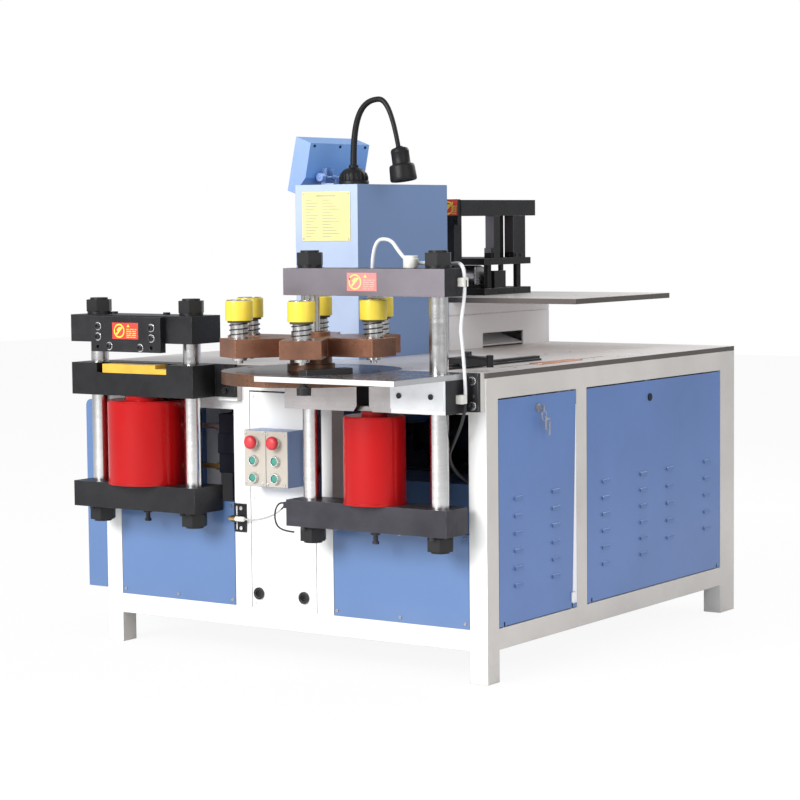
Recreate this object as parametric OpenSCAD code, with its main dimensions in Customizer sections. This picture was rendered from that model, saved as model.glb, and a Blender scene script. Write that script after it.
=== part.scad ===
// Busbar punching machine: a shear press, a turret punch press and a bending
// press on one welded table, with its control cabinet, lamp and hydraulics.
// Lengths are millimetres. X runs left to right, Y front to back, Z up.

/* [Frame] */
// Overall width of the welded frame
frame_w = 1405; // [1380:5:1440]
// Overall depth of the welded frame
frame_d = 1530; // [1500:5:1600]
// Height of the frame's top face, which carries the table plates
frame_h = 862; // [800:1:920]
// Outside width of the square tubes
tube = 60; // [56:1:62]
// Wall of the square tubes
tube_wall = 3; // [2:0.5:5]
// Front-to-back width of the two rear legs
rear_leg = 100; // [80:1:110]
// Clear height under the bottom rails
leg_clear = 92; // [70:1:110]
// Left edge of the post at the left of the centre bay, from the right side
bay_post_a = 895; // [890:1:902]
// Left edge of the post at the right of the centre bay, from the right side
bay_post_b = 592; // [585:1:596]
// Front edge of the middle post in each side, from the front
side_post_y = 495; // [480:1:520]
// Height of the capping bar along the front
cap_h = 24; // [23:1:28]
// Height of the front rail in the left bay
left_rail_h = 95; // [90:1:102]
// Height of the front rail in the right bay
right_rail_h = 79; // [74:1:81]

/* [Table] */
// Thickness of the steel table plates
table_t = 15; // [12:1:18]
// Distance of the joint between the two table plates from the front
table_joint_y = 585; // [560:5:620]
// Gap left between neighbouring plates
plate_gap = 1; // [0.5:0.1:2]
// Reach of the punch table in front of the frame
punch_table_reach = 386; // [380:1:420]
// Left edge of the punch table, from the right side
punch_table_left = 514; // [500:1:530]

/* [Panels] */
// Sheet thickness of the panels
sheet = 2; // [1.5:0.1:3]
// Gap between a removable panel and its frame
panel_gap = 2; // [1:0.5:4]
// Depth of the opening above the left front panel, from the frame's top
left_bay_h = 398; // [380:1:440]
// Depth of the opening above the right front panel, from the frame's top
right_bay_h = 442; // [440:1:460]
// Depth of a removable panel's folded edge
panel_fold = 18; // [12:1:25]
// Vertical pitch of the louvres
louvre_pitch = 50; // [44:1:54]
// Width of one louvre
louvre_w = 44; // [30:1:50]
// Height of one louvre slot
louvre_h = 9; // [6:0.5:12]
// Drop of the top row of louvres below the panel's upper edge
louvre_drop = 282; // [240:1:300]
// Reach of the housing on the left side
side_box_w = 150; // [120:5:200]
// Length of the housing on the left side
side_box_l = 620; // [400:10:900]
// Drop of the side housing's top below the frame's top
side_box_drop = 116; // [100:1:160]

/* [Presses] */
// Distance of both presses' front faces from the frame
press_front = 140; // [136:1:150]
// Diameter of the tie rods
rod_d = 54; // [50:1:56]
// Width across the flats of the tie rod nuts
nut_af = 70; // [65:1:72]
// Height of a tie rod nut
nut_h = 36; // [30:1:40]
// Thickness of a tie rod washer
washer_t = 8; // [5:1:10]
// Working stroke of the shear press
shear_stroke = 45; // [30:1:45]
// Working stroke of the punch press
punch_stroke = 40; // [25:1:40]
// Length of a ram that stays guided in its cylinder at full stroke
ram_guide = 174; // [150:1:180]
// Radial clearance of a sliding fit
slide_fit = 0.06; // [0.02:0.01:0.1]
// Thickness of the mounting ears
ear_t = 13; // [10:1:16]
// Diameter of the sensor lead on the punch press
lead_d = 10; // [8:0.5:11]

/* [Shear press] */
// Distance of the shear press from the right side
shear_x = 1174; // [1165:1:1180]
// Width of the shear press
shear_w = 476; // [470:1:490]
// Depth of the shear press plates
shear_d = 134; // [125:1:134]
// Distance between the shear press tie rods
shear_pitch = 364; // [350:1:370]
// Drop of the shear press's lower yoke below the frame's top
shear_low_drop = 424; // [412:1:430]
// Thickness of the shear press's lower yoke
shear_low_t = 77; // [70:1:82]
// Thickness of the shear bed
shear_bed_t = 97; // [90:1:100]
// Opening between the shear bed and the upper yoke
shear_open_h = 64; // [58:1:80]
// Thickness of the shear press's upper yoke
shear_top_t = 82; // [75:1:90]
// Diameter of the shear cylinder
shear_cyl_d = 234; // [200:2:240]
// Height of the shear cylinder
shear_cyl_h = 253; // [240:1:256]
// Diameter of the shear ram
shear_ram_d = 128; // [100:2:140]

/* [Punch press] */
// Distance of the punch press from the right side
punch_x = 320; // [318:1:322]
// Width of the punch press
punch_w = 552; // [545:1:560]
// Depth of the punch press plates
punch_d = 108; // [104:1:112]
// Distance between the punch press tie rods
punch_pitch = 440; // [436:1:444]
// Drop of the punch press's lower yoke below the frame's top
punch_low_drop = 434; // [424:1:440]
// Thickness of the punch press's lower yoke
punch_low_t = 76; // [70:1:82]
// Thickness of the punch bed
punch_bed_t = 94; // [88:1:98]
// Opening between the table and the upper yoke
punch_open_h = 215; // [214:1:230]
// Thickness of the punch press's upper yoke
punch_top_t = 77; // [70:1:90]
// Diameter of the punch cylinder
punch_cyl_d = 178; // [160:2:184]
// Height of the punch cylinder
punch_cyl_h = 250; // [240:1:254]
// Diameter of the punch ram
punch_ram_d = 76; // [60:2:90]

/* [Turret] */
// Rim of the die disc outside the circle of punches
disc_rim = 38; // [35:1:42]
// Thickness of the die disc
disc_t = 35; // [33:1:36]
// Reach of a turret arm past its punch
arm_rim = 37; // [34:1:42]
// Width of a turret arm
arm_w = 118; // [110:1:122]
// Height of the turret arms' lower face above the table
arm_rise = 43; // [42:1:48]
// Thickness of the turret arms
arm_t = 53; // [48:1:56]
// Radius of the turret hub
hub_r = 61; // [55:1:65]
// Diameter of the urethane stripper sleeves
sleeve_d = 78; // [70:1:82]
// Height of a stripper sleeve
sleeve_h = 60; // [50:1:62]
// Diameter of a punch shank
shank_d = 50; // [44:1:50]
// Gap between a parked punch and the upper yoke
head_gap = 9; // [9:0.5:12]
// Diameter of the spring wire
spring_wire = 3.2; // [2.4:0.2:4]

/* [Bending press] */
// Distance of the pedestal's right face from the right side
pedestal_x = 700; // [690:5:720]
// Distance of the pedestal's front from the frame's front
pedestal_y = 882; // [870:1:890]
// Width of the pedestal
pedestal_w = 420; // [380:10:460]
// Length of the pedestal, front to back
pedestal_l = 630; // [600:5:640]
// Height of the bending table's upper face above the work table
bend_rise = 173; // [165:1:185]
// Thickness of the bending table
bend_table_t = 17; // [14:1:20]
// Distance of the bending table's right edge from the right side
bend_table_x = 240; // [220:5:280]
// Width of the bending table
bend_table_w = 860; // [820:10:900]
// Width of the bending frame's plates
bend_w = 300; // [285:5:320]
// Front edge of the bending frame, from the pedestal's front
bend_inset = 224; // [218:1:230]
// Depth of the bending frame
bend_d = 294; // [290:1:300]
// Thickness of the bending frame's plates
bend_plate = 22; // [18:1:24]
// Clear height between the bending frame's plates
bend_gap = 78; // [78:1:90]
// Height of the top beam's lower face above the bending table
bend_open_h = 263; // [255:1:280]
// Diameter of the bending ram
bend_ram_d = 72; // [60:1:74]
// Stroke of the bending ram
bend_stroke = 40; // [30:1:42]

/* [Cabinet] */
// Distance of the cabinet's right face from the right side
cabinet_x = 678; // [670:1:690]
// Width of the cabinet
cabinet_w = 236; // [230:2:250]
// Length of the cabinet
cabinet_l = 496; // [480:2:510]
// Height of the cabinet
cabinet_h = 536; // [500:2:560]
// Distance of the cabinet's front from the frame's front
cabinet_y = 346; // [340:1:352]
// Width of the operator panel housing
hmi_w = 315; // [300:1:330]
// Diameter of the gooseneck at its foot
neck_d = 22; // [18:1:24]
// Diameter of the lamp's head at its lower end
lamp_d = 82; // [70:1:86]

/* [Controls] */
// Width of the push-button station
button_box_w = 160; // [156:2:170]
// Height of the push-button station
button_box_h = 166; // [160:2:180]
// Depth of the push-button station
button_box_d = 72; // [60:1:80]
// Travel of a push-button
button_travel = 4; // [3:0.5:4]
// Diameter of an emergency stop head
estop_d = 40; // [36:1:42]

/* [Hidden] */
$fn = 64;
// Upper face of the work table
table_top = frame_h + table_t;
// Clearance kept round pieces that pass one another
run_gap = 0.3;
// How far the door locks stand out at the right
lock_reach = 24.5;
// How far the punch table's support bolt stands out in front of it
bolt_lip = 4;
// Centre of the whole machine, measured from the frame's near right corner
mid_x = (lock_reach - frame_w - side_box_w) / 2;
mid_y = (frame_d - punch_table_reach - bolt_lip) / 2;
// Corners and rails of the frame
left_x = -frame_w;
back_y = frame_d;
rail_top = leg_clear + tube;
panel_top = frame_h - tube - 4;
front_rail_top = frame_h - cap_h;
rail_low_left = front_rail_top - left_rail_h;
rail_low_right = front_rail_top - right_rail_h;
// Back post, and the cross members that carry the oil tank
back_post_x = -732;
tank_rails = [620, 1180];
// Shear press
press_y = -press_front;
rod_r = rod_d / 2;
bore_r = rod_r + slide_fit;
shear_y = press_y + shear_d / 2;
shear_left = -shear_x - shear_w / 2;
shear_right = shear_left + shear_w;
shear_low_z = frame_h - shear_low_drop;
shear_low_top = shear_low_z + shear_low_t;
shear_cyl_top = shear_low_top + shear_cyl_h;
shear_bed_top = table_top + 2;
shear_bed_z = shear_bed_top - shear_bed_t;
shear_top_z = shear_bed_top + shear_open_h;
shear_top_end = shear_top_z + shear_top_t;
// Feed pocket of the shear bed, from the shear press's left side
feed_x = shear_left + 100;
feed_w = 275;
feed_z = shear_bed_top - 29;
// Punch press
punch_y = press_y + punch_d / 2;
punch_left = -punch_x - punch_w / 2;
punch_right = punch_left + punch_w;
punch_low_z = frame_h - punch_low_drop;
punch_low_top = punch_low_z + punch_low_t;
punch_cyl_top = punch_low_top + punch_cyl_h;
punch_bed_top = frame_h;
punch_bed_z = punch_bed_top - punch_bed_t;
punch_top_z = table_top + punch_open_h;
punch_top_end = punch_top_z + punch_top_t;
slot_x = -punch_x - 23;
slot_w = 43;
// Height sensor on the upper yoke, and the clips of its lead
cap_x = punch_right - 147;
clip_y = press_y + 87;
clip_top_z = punch_top_end - 38;
clip_low_z = punch_bed_top - 54;
clip_h = 24;
lead_r = lead_d / 2;
lead_x = punch_right + 15;
lead_y = clip_y - 9;
// Mounting ears
ear_y = -34;
ear_back = ear_y + ear_t;
// Turret, turning on the punch press's left tie rod
punch_r = punch_pitch / 2;
disc_r = punch_r + disc_rim;
arm_r = punch_r + arm_rim;
turret_x = -punch_x - punch_r;
turret_y = punch_y;
disc_z = table_top - disc_t;
disc_seat = disc_z - 2.5;
// Bush on the bed that the turret turns on, with the tie rod sliding inside it
bush_r = rod_r + 19;
arm_z = table_top + arm_rise;
arm_top = arm_z + arm_t;
bush_h = arm_top + 10 - disc_seat;
punch_head_z = punch_top_z - head_gap;
sleeve_z = punch_head_z - sleeve_h - 5;
shank_r = shank_d / 2;
stub_r = shank_r - 4;
nose_r = 10;
// Guide bar beside the working punch, lying across the die disc's rim
guide_a = 73;
guide_x = turret_x + 171;
guide_y = turret_y - 252;
guide_l = 160;
guide_w = 36;
guide_h = 17;
// Bending press
pedestal_top = table_top + bend_rise - bend_table_t;
bend_table_z = table_top + bend_rise;
bend_right = -pedestal_x - 5;
bend_left = bend_right - bend_w;
bend_y = pedestal_y + bend_inset;
bend_low_z = bend_table_z + bend_plate;
bend_mid_z = bend_low_z + bend_gap;
bend_mid_top = bend_mid_z + bend_plate;
bend_top_z = bend_table_z + bend_open_h;
ram_y = bend_y + 101;
ram_z = bend_low_z + bend_gap / 2;
nose_x = bend_right - 84;
vee_x = bend_right - 30;
bend_cyl_l = bend_stroke + 40;
// Side panels
front_panel_y = tube + panel_gap;
front_panel_l = side_post_y - tube - 2 * panel_gap;
rear_panel_y = side_post_y + tube + panel_gap;
rear_panel_l = back_y - rear_leg - rear_panel_y - panel_gap;
panel_z = rail_top + 3;
louvre_top = panel_top - louvre_drop;
pivot_x = -7;
pivot_z = panel_z + 6;
lug_t = 4;
lug_inset = 24;
front_lock_y = front_panel_y + 213;
front_lock_z = panel_top - 36;
rear_lock_y = rear_panel_y + 390;
rear_lock_z = panel_top - 51;
lock_r = 9;
// Cabinet, lamp and operator panel
cab_x = -cabinet_x - cabinet_w;
cab_top = table_top + cabinet_h;
lamp_x = cab_x + 163;
lamp_y = cabinet_y + 84;
head_x = lamp_x + 171;
head_z = cab_top + 110;
head_h = 103;
hmi_y = cabinet_y + 39;
tilt_x = cab_x + 30;
tilt_z = cab_top + 25;
lug_y = [cabinet_y + 106, cabinet_y + 162];
// Push-button station, hung on the centre bay's cover
box_x = -bay_post_a + 97;
box_z = rail_top + 374;
stem_r = 8;
stem_hole_r = stem_r + 0.08;
button_rows = [box_z + 132, box_z + 78, box_z + 27];
button_cols = [box_x + button_box_w / 4 - 4, box_x + button_box_w * 3 / 4 - 4];
button_face = -button_box_d - 2;
socket_x = [-bay_post_a + 89, -bay_post_b - 47];
socket_z = rail_top + 43;
// Stop gauge
gauge_x = -186;
gauge_y = 60;
gauge_l = 520;
gauge_pin_y = gauge_y + 98;
gauge_pin_x = gauge_x + 22;
// Oil tank and hydraulics
tank_y = [tank_rails[0] - 20, tank_rails[1] + 80];
tank_h = 330;
pump_z = rail_top + tank_h;
pump_y = tank_y[0] + 350;
shaft_z = pump_z + 104;
valve_x = -bay_post_a - 60;
fitting_z = [pump_z + 74, pump_z + 197];

// Sub-part to show, or all of them

// Moves a piece from the frame's corner to the machine's centre line
module place() translate([-mid_x, -mid_y, 0]) children();

// Box given by its low corner and its high corner
module block(a, b) translate(a) cube(b - a);

// Upright rod from a height, by its length
module rod(x, y, z, r, h) translate([x, y, z]) cylinder(r = r, h = h);

// Rod lying front to back, its low end at y
module rod_y(x, y, z, r, h) translate([x, y, z]) rotate([-90, 0, 0]) cylinder(r = r, h = h);

// Rod lying left to right, its low end at x
module rod_x(x, y, z, r, h) translate([x, y, z]) rotate([0, 90, 0]) cylinder(r = r, h = h);

// Square tube between two corners, open at the ends along one axis
module tube_z(x, y, w, d, z0, z1) difference() {
  block([x, y, z0], [x + w, y + d, z1]);
  block([x + tube_wall, y + tube_wall, z0 - 1], [x + w - tube_wall, y + d - tube_wall, z1 - tube_wall]);
}

module tube_x(x0, x1, y, z0, z1) difference() {
  block([x0, y, z0], [x1, y + tube, z1]);
  block([x0 - 1, y + tube_wall, z0 + tube_wall], [x1 + 1, y + tube - tube_wall, z1 - tube_wall]);
}

module tube_y(x, y0, y1, z0, z1) difference() {
  block([x, y0, z0], [x + tube, y1, z1]);
  block([x + tube_wall, y0 - 1, z0 + tube_wall], [x + tube - tube_wall, y1 + 1, z1 - tube_wall]);
}

// Hexagonal head or nut
module hex(x, y, z, af, h) translate([x, y, z]) cylinder(r = af / 2 / cos(30), h = h, $fn = 6);

// Socket screw head facing forwards, seated at y
module socket_head(x, y, z, r, h) difference() {
  rod_y(x, y - h, z, r, h);
  translate([x, y - h - 1, z]) rotate([-90, 0, 0]) cylinder(r = r * 0.5, h = h * 0.6 + 1, $fn = 6);
}

// Swept round tube through a list of points
function unit(v) = v / norm(v);
function bez(a, b, c, d, t) =
  pow(1 - t, 3) * a + 3 * t * pow(1 - t, 2) * b + 3 * t * t * (1 - t) * c + pow(t, 3) * d;
function dbez(a, b, c, d, t) =
  3 * pow(1 - t, 2) * (b - a) + 6 * t * (1 - t) * (c - b) + 3 * t * t * (d - c);
function side_of(v) = abs(v[1]) < 0.9 ? unit(cross(v, [0, 1, 0])) : unit(cross(v, [1, 0, 0]));

module hose(a, b, c, d, r, n = 12, m = 8, end_r = 0) {
  points = [for (i = [0:n]) let(t = i / n, p = bez(a, b, c, d, t), v = unit(dbez(a, b, c, d, t)),
    s = side_of(v), u = cross(v, s), w = end_r > 0 ? r + (end_r - r) * t : r)
    for (j = [0:m - 1]) let(q = 360 * j / m) p + w * cos(q) * s + w * sin(q) * u];
  sides = [for (i = [0:n - 1], j = [0:m - 1]) let(k = (j + 1) % m)
    each [[i * m + j, i * m + m + k, i * m + k], [i * m + j, i * m + m + j, i * m + m + k]]];
  ends = [[for (j = [0:m - 1]) j], [for (j = [m - 1:-1:0]) n * m + j]];
  polyhedron(points, concat(sides, ends));
}

// Coil spring standing at z, by its height
module coil(x, y, z, r, wire, h, turns, per = 10, m = 5) {
  n = turns * per;
  points = [for (i = [0:n]) let(q = 360 * i / per, g = wire + (h - 2 * wire) * i / n)
    for (j = [0:m - 1]) let(w = 360 * j / m, s = r + wire * cos(w))
    [x + s * cos(q), y + s * sin(q), z + g + wire * sin(w)]];
  sides = [for (i = [0:n - 1], j = [0:m - 1]) let(k = (j + 1) % m)
    each [[i * m + j, i * m + m + k, i * m + k], [i * m + j, i * m + m + j, i * m + m + k]]];
  ends = [[for (j = [0:m - 1]) j], [for (j = [m - 1:-1:0]) n * m + j]];
  polyhedron(points, concat(sides, ends));
}

// Welded frame of square tube, with the pads that carry both presses
module frame() color("whitesmoke") place() {
  frame_front();
  frame_sides();
  frame_back();
  frame_pads();
  panel_lugs(front_panel_y, front_panel_l);
  panel_lugs(rear_panel_y, rear_panel_l);
}

module disc_space() rod(turret_x, turret_y, disc_seat, disc_r + 4, 60);

module frame_front() {
  for (x = [left_x, -tube]) tube_z(x, 0, tube, tube, 0, front_rail_top);
  for (x = [-bay_post_a, -bay_post_b]) tube_z(x, 0, tube, tube, leg_clear, front_rail_top);
  for (b = [[left_x, -bay_post_a], [-bay_post_a, -bay_post_b], [-bay_post_b, -tube]])
    tube_x(b[0] + tube, b[1], 0, leg_clear, rail_top);
  // The left rail is notched where the shear cylinder stands into it
  difference() {
    tube_x(left_x + tube, -bay_post_a, 0, rail_low_left, front_rail_top);
    rod(-shear_x, shear_y, rail_low_left - 1, shear_cyl_d / 2 + 9, shear_cyl_top - rail_low_left + 13);
  }
  intersection() {
    block([left_x + tube, 0, rail_low_left], [-bay_post_a, tube, shear_cyl_top + 15]);
    difference() {
      rod(-shear_x, shear_y, rail_low_left, shear_cyl_d / 2 + 9, shear_cyl_top - rail_low_left + 15);
      rod(-shear_x, shear_y, rail_low_left - 1, shear_cyl_d / 2 + 6, shear_cyl_top - rail_low_left + 13);
    }
  }
  tube_x(-bay_post_a + tube, -bay_post_b, 0, frame_h - tube, front_rail_top);
  tube_x(-bay_post_b + tube, -tube, 0, rail_low_right, front_rail_top);
  difference() {
    block([left_x, 0, front_rail_top], [0, tube, frame_h]);
    disc_space();
  }
}

module frame_sides() {
  for (x = [left_x, -tube]) {
    tube_z(x, side_post_y, tube, tube, leg_clear, frame_h);
    tube_z(x, back_y - rear_leg, tube, rear_leg, 0, frame_h);
    for (z = [leg_clear, frame_h - tube]) {
      tube_y(x, tube, side_post_y, z, z + tube);
      tube_y(x, side_post_y + tube, back_y - rear_leg, z, z + tube);
    }
  }
  // Cross members under the table and under the oil tank
  tube_x(left_x + tube, -tube, side_post_y, frame_h - tube, frame_h);
  tube_y(-bay_post_a, tube, side_post_y, frame_h - tube, frame_h);
  for (y = tank_rails) tube_x(left_x + tube, -tube, y, leg_clear, rail_top);
}

module frame_back() {
  y = back_y - tube;
  tube_z(back_post_x, y, tube, tube, leg_clear, frame_h);
  for (z = [leg_clear, frame_h - tube]) {
    tube_x(left_x + tube, back_post_x, y, z, z + tube);
    tube_x(back_post_x + tube, -tube, y, z, z + tube);
  }
}

module frame_pads() {
  // Shear bed pads
  y0 = press_y + shear_d;
  block([shear_left + 12, y0, shear_bed_z + 8], [shear_right - 9, 0, frame_h - 2]);
  block([shear_right, ear_back, shear_bed_z - 12], [shear_right + 73, 0, frame_h]);
  // Punch bed pads
  y1 = press_y + punch_d;
  block([punch_left + 76, y1, punch_bed_z + 8], [punch_right - 16, 0, front_rail_top - 4]);
  difference() {
    block([punch_right - 156, y1, front_rail_top - 4], [punch_right - 16, 0, frame_h]);
    disc_space();
  }
  block([punch_right - 1, ear_back, punch_bed_z + 2], [punch_right + 38, 0, table_top + 2]);
}

// Hinge lugs and lock keeper of one side panel
module panel_lugs(y, l) {
  for (u = [y + lug_inset, y + l - lug_inset - lug_t]) difference() {
    block([-14, u, rail_top], [-3.5, u + lug_t, pivot_z + 5]);
    rod_y(pivot_x, u - 1, pivot_z, 2.05, lug_t + 2);
  }
}

// Front and back plates of the work table
module table_plates() color("lightslategray") place() {
  difference() {
    block([left_x, 0, frame_h], [0, table_joint_y - plate_gap / 2, table_top]);
    rod(turret_x, turret_y, frame_h - 1, disc_r + 3, table_t + 2);
    table_groove();
    table_holes(100);
  }
  difference() {
    block([left_x, table_joint_y + plate_gap / 2, frame_h], [0, back_y, table_top]);
    table_groove();
    table_holes(table_joint_y + 120);
  }
}

module table_groove() block([-104, 232, table_top - 6], [-96, 830, table_top + 1]);

module table_holes(y) for (x = [-60, -320], u = [0, 150, 300]) rod(x, y + u, table_top - 10, 5, 11);

// Plate beside the die disc that carries the bar at the punch, with its guide bar
module punch_table() color("silver") place() {
  difference() {
    block([-punch_table_left, -punch_table_reach, frame_h], [punch_right - 1, -plate_gap, table_top]);
    rod(turret_x, turret_y, frame_h - 1, disc_r + 3, table_t + 2);
    rod(-punch_x + punch_pitch / 2, punch_y, frame_h - 1, rod_r + 3, table_t + 2);
    for (y = [-24, -124]) rod(punch_right - 26, y, table_top - 6, 7, 7);
  }
  difference() {
    translate([guide_x, guide_y, table_top]) rotate(guide_a) cube([guide_l, guide_w, guide_h]);
    rod(turret_x, turret_y, table_top - 1, disc_r + 3, 1.5);
  }
  x = -punch_x - 35;
  y = -punch_table_reach - bolt_lip + 20;
  rod(x, y, frame_h - 12, 10, 12);
  rod(x, y, frame_h - 34, 20, 22);
}

// Blue sheets screwed over the lower front bays, the left side and the back
module fixed_panels() color("cornflowerblue") place() {
  front_sheet(left_x + tube + 2, -bay_post_a - 2, frame_h - left_bay_h);
  front_sheet(-bay_post_b + tube + 2, -tube - 2, frame_h - right_bay_h);
  for (b = [[tube + 2, side_post_y - 2], [side_post_y + tube + 2, back_y - rear_leg - 2]])
    block([left_x, b[0], rail_top + 2], [left_x + sheet, b[1], frame_h - tube - 2]);
  // Keepers of the two cam locks, on the under side of the table's right rail
  for (k = [[front_lock_y, front_lock_z], [rear_lock_y, rear_lock_z]])
    block([-12, k[0] - 16, k[1] + 16], [-9, k[0] + 16, frame_h - tube]);
  vent_z = frame_h - tube - 152;
  for (b = [[left_x + tube + 2, back_post_x - 2], [back_post_x + tube + 2, -tube - 2]]) difference() {
    block([b[0], back_y - sheet, rail_top + 2], [b[1], back_y, frame_h - tube - 2]);
    for (i = [0:5], s = [-70, 70]) rear_vent((b[0] + b[1]) / 2 + s, vent_z - i * louvre_pitch);
  }
}

module rear_vent(x, z)
  block([x - louvre_w / 2, back_y - sheet - 1, z], [x + louvre_w / 2, back_y + 1, z + louvre_h]);

module front_sheet(x0, x1, z1) {
  block([x0, 0, rail_top], [x1, sheet, z1]);
  block([x0, sheet, z1 - sheet], [x1, panel_fold, z1]);
  for (x = [x0, x1 - sheet]) block([x, sheet, rail_top], [x + sheet, panel_fold, z1 - sheet]);
}

// White cover of the centre bay, with two cable sockets
module centre_cover() color("whitesmoke") place() difference() {
  union() {
    block([-bay_post_a + tube + 2, 0, rail_top], [-bay_post_b - 2, sheet, panel_top]);
    for (x = [-bay_post_a + tube + 2, -bay_post_b - 2 - sheet])
      block([x, sheet, rail_top], [x + sheet, panel_fold, panel_top]);
    for (x = socket_x) {
      rod_y(x, -6, socket_z, 18, 6);
      rod_y(x, sheet, socket_z, 15, 14);
    }
  }
  for (x = socket_x) rod_y(x, -7, socket_z, 11, 12);
}

// Blue housing on the left side with a rounded top corner
module side_box() color("cornflowerblue") place() {
  w = side_box_w;
  z = rail_top - 2;
  h = frame_h - side_box_drop - z;
  difference() {
    translate([left_x, 80 + side_box_l, z]) rotate([90, 0, 0]) linear_extrude(side_box_l)
      housing_outline(w, h, 20);
    translate([left_x + 1, 80 + side_box_l - sheet, z + sheet]) rotate([90, 0, 0])
      linear_extrude(side_box_l - 2 * sheet)
        housing_outline(w - sheet + 1, h - 2 * sheet, 18);
  }
}

module housing_outline(w, h, r) {
  translate([-w, 0]) square([w, h - r]);
  translate([-w + r, 0]) square([w - r, h]);
  translate([-w + r, h - r]) circle(r);
}

// Louvred panels of the right side, hinged along their lower edges. Each column
// of louvres has its place, its number of rows and its pitch.
module side_panel_front() color("cornflowerblue") place()
  side_panel(front_panel_y, front_panel_l, front_lock_y, front_lock_z,
    [[front_panel_y + 103, 6, louvre_pitch], [front_panel_y + front_panel_l - 120, 6, louvre_pitch]]);

module side_panel_rear() color("cornflowerblue") place() {
  mid = rear_panel_y + rear_panel_l / 2;
  side_panel(rear_panel_y, rear_panel_l, rear_lock_y, rear_lock_z,
    [[rear_panel_y + 110, 6, louvre_pitch], [mid - 89, 6, louvre_pitch],
      [mid + 84, 5, louvre_pitch + 4.5], [rear_panel_y + rear_panel_l - 97, 5, louvre_pitch + 4.5]]);
}

module side_panel(y, l, lock_y, lock_z, columns) {
  difference() {
    union() {
      block([-sheet, y, panel_z], [0, y + l, panel_top]);
      for (u = [y, y + l - sheet])
        block([-panel_fold, u, panel_z], [-sheet, u + sheet, panel_top]);
      block([-panel_fold, y, panel_z], [-sheet, y + l, panel_z + sheet]);
      block([-7, y, panel_top - sheet], [-sheet, y + l, panel_top]);
      rod_x(-sheet - 4, lock_y, lock_z, lock_r + 6, 4);
    }
    rod_x(-10, lock_y, lock_z, lock_r + slide_fit, 12);
    for (u = [y + lug_inset, y + l - lug_inset - lug_t])
      block([-panel_fold - 1, u - 2, panel_z - 1], [1, u + lug_t + 2, pivot_z + 6]);
    for (c = columns, i = [0:c[1] - 1]) louvre_slot(c[0], louvre_top - i * c[2]);
  }
  for (c = columns, i = [0:c[1] - 1]) louvre_hood(c[0], louvre_top - i * c[2]);
  for (s = [0, 1]) {
    pin_y = s == 0 ? y : y + l - lug_inset - lug_t - 2;
    rod_y(pivot_x, pin_y, pivot_z, 2, lug_inset + lug_t + 2);
  }
}

module louvre_slot(y, z) block([-5, y - louvre_w / 2 + 3, z - louvre_h], [1, y + louvre_w / 2 - 3, z - 1]);

// Pressed hood, a slice of a flat cylinder end
module louvre_hood(y, z) difference() {
  intersection() {
    translate([0, y, z - louvre_h]) scale([0.5, 1, 1]) rod_y(0, -louvre_w / 2, 0, louvre_h + 2, louvre_w);
    block([-1, y - louvre_w / 2, z - louvre_h], [8, y + louvre_w / 2, z + 3]);
  }
  intersection() {
    translate([0, y, z - louvre_h - 1]) scale([0.5, 1, 1])
      rod_y(0, -louvre_w / 2 + 1.5, 0, louvre_h + 1, louvre_w - 3);
    block([-6, y - louvre_w / 2, z - louvre_h - 2], [8, y + louvre_w / 2, z + 3]);
  }
}

// Cam locks; the front one has a ring of keys in it
module lock_front() color("silver") place() {
  cam_lock(front_lock_y, front_lock_z);
  rod_x(3, front_lock_y, front_lock_z, 2, 9);
  block([5, front_lock_y - 1.5, front_lock_z - 12], [22, front_lock_y + 1.5, front_lock_z + 6]);
  translate([21, front_lock_y + 1, front_lock_z - 22]) rotate([0, 90, 0])
    rotate_extrude() translate([13, 0]) circle(1.2);
  for (k = [[6, 20, 33], [22, 22.5, 50]])
    translate([k[1], front_lock_y + k[0], front_lock_z - k[2] - 30]) cube([2, 8, 38]);
  block([19, front_lock_y + 4, front_lock_z - 36], [24, front_lock_y + 28, front_lock_z - 30]);
}

module lock_rear() color("silver") place() cam_lock(rear_lock_y, rear_lock_z);

module cam_lock(y, z) {
  rod_x(0, y, z, lock_r + 3, 3);
  rod_x(-17, y, z, lock_r, 17);
  // Cam tongue, lying level while the panel is unlocked
  block([-20, y - 9, z - 8], [-17, y + frame_h - tube - 2 - z, z + 8]);
}

// Push-button station: a blue box with two cream face plates
module button_box() color("steelblue") place() {
  difference() {
    block([box_x, -button_box_d, box_z], [box_x + button_box_w, 0, box_z + button_box_h]);
    block([box_x + sheet, -button_box_d + sheet, box_z + sheet],
      [box_x + button_box_w - sheet, -sheet, box_z + button_box_h - sheet]);
    button_holes();
  }
  difference() {
    for (i = [0, 1]) block([box_x + i * button_box_w / 2 + 1, button_face, box_z + 1],
      [box_x + (i + 1) * button_box_w / 2 - 1, -button_box_d, box_z + button_box_h - 1]);
    button_holes();
  }
  difference() {
    for (x = button_cols) {
      rod_y(x, button_face - 5, button_rows[0], 15, 5);
      for (z = [button_rows[1], button_rows[2]]) rod_y(x, button_face - 5, z, 15, 5);
    }
    button_holes();
  }
  for (x = button_cols, s = [-1, 1], z = [box_z + 9, box_z + button_box_h - 9])
    socket_head(x + s * (button_box_w / 4 - 9), button_face, z, 4, 2.5);
}

module button_holes() for (x = button_cols, z = button_rows)
  rod_y(x, button_face - 8, z, z == button_rows[0] ? stem_hole_r : 11.1, 30);

// Mushroom heads of the emergency stops
module estop(x) color("red") place() {
  y = button_face - 5 - button_travel;
  rod_y(x, y - 21, button_rows[0], stem_r, 44);
  rod_y(x, y - 15, button_rows[0], estop_d / 2, 12);
  rod_y(x, y - 21, button_rows[0], estop_d / 2 - 4, 7);
}

module estop_left() estop(button_cols[0]);
module estop_right() estop(button_cols[1]);

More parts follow.
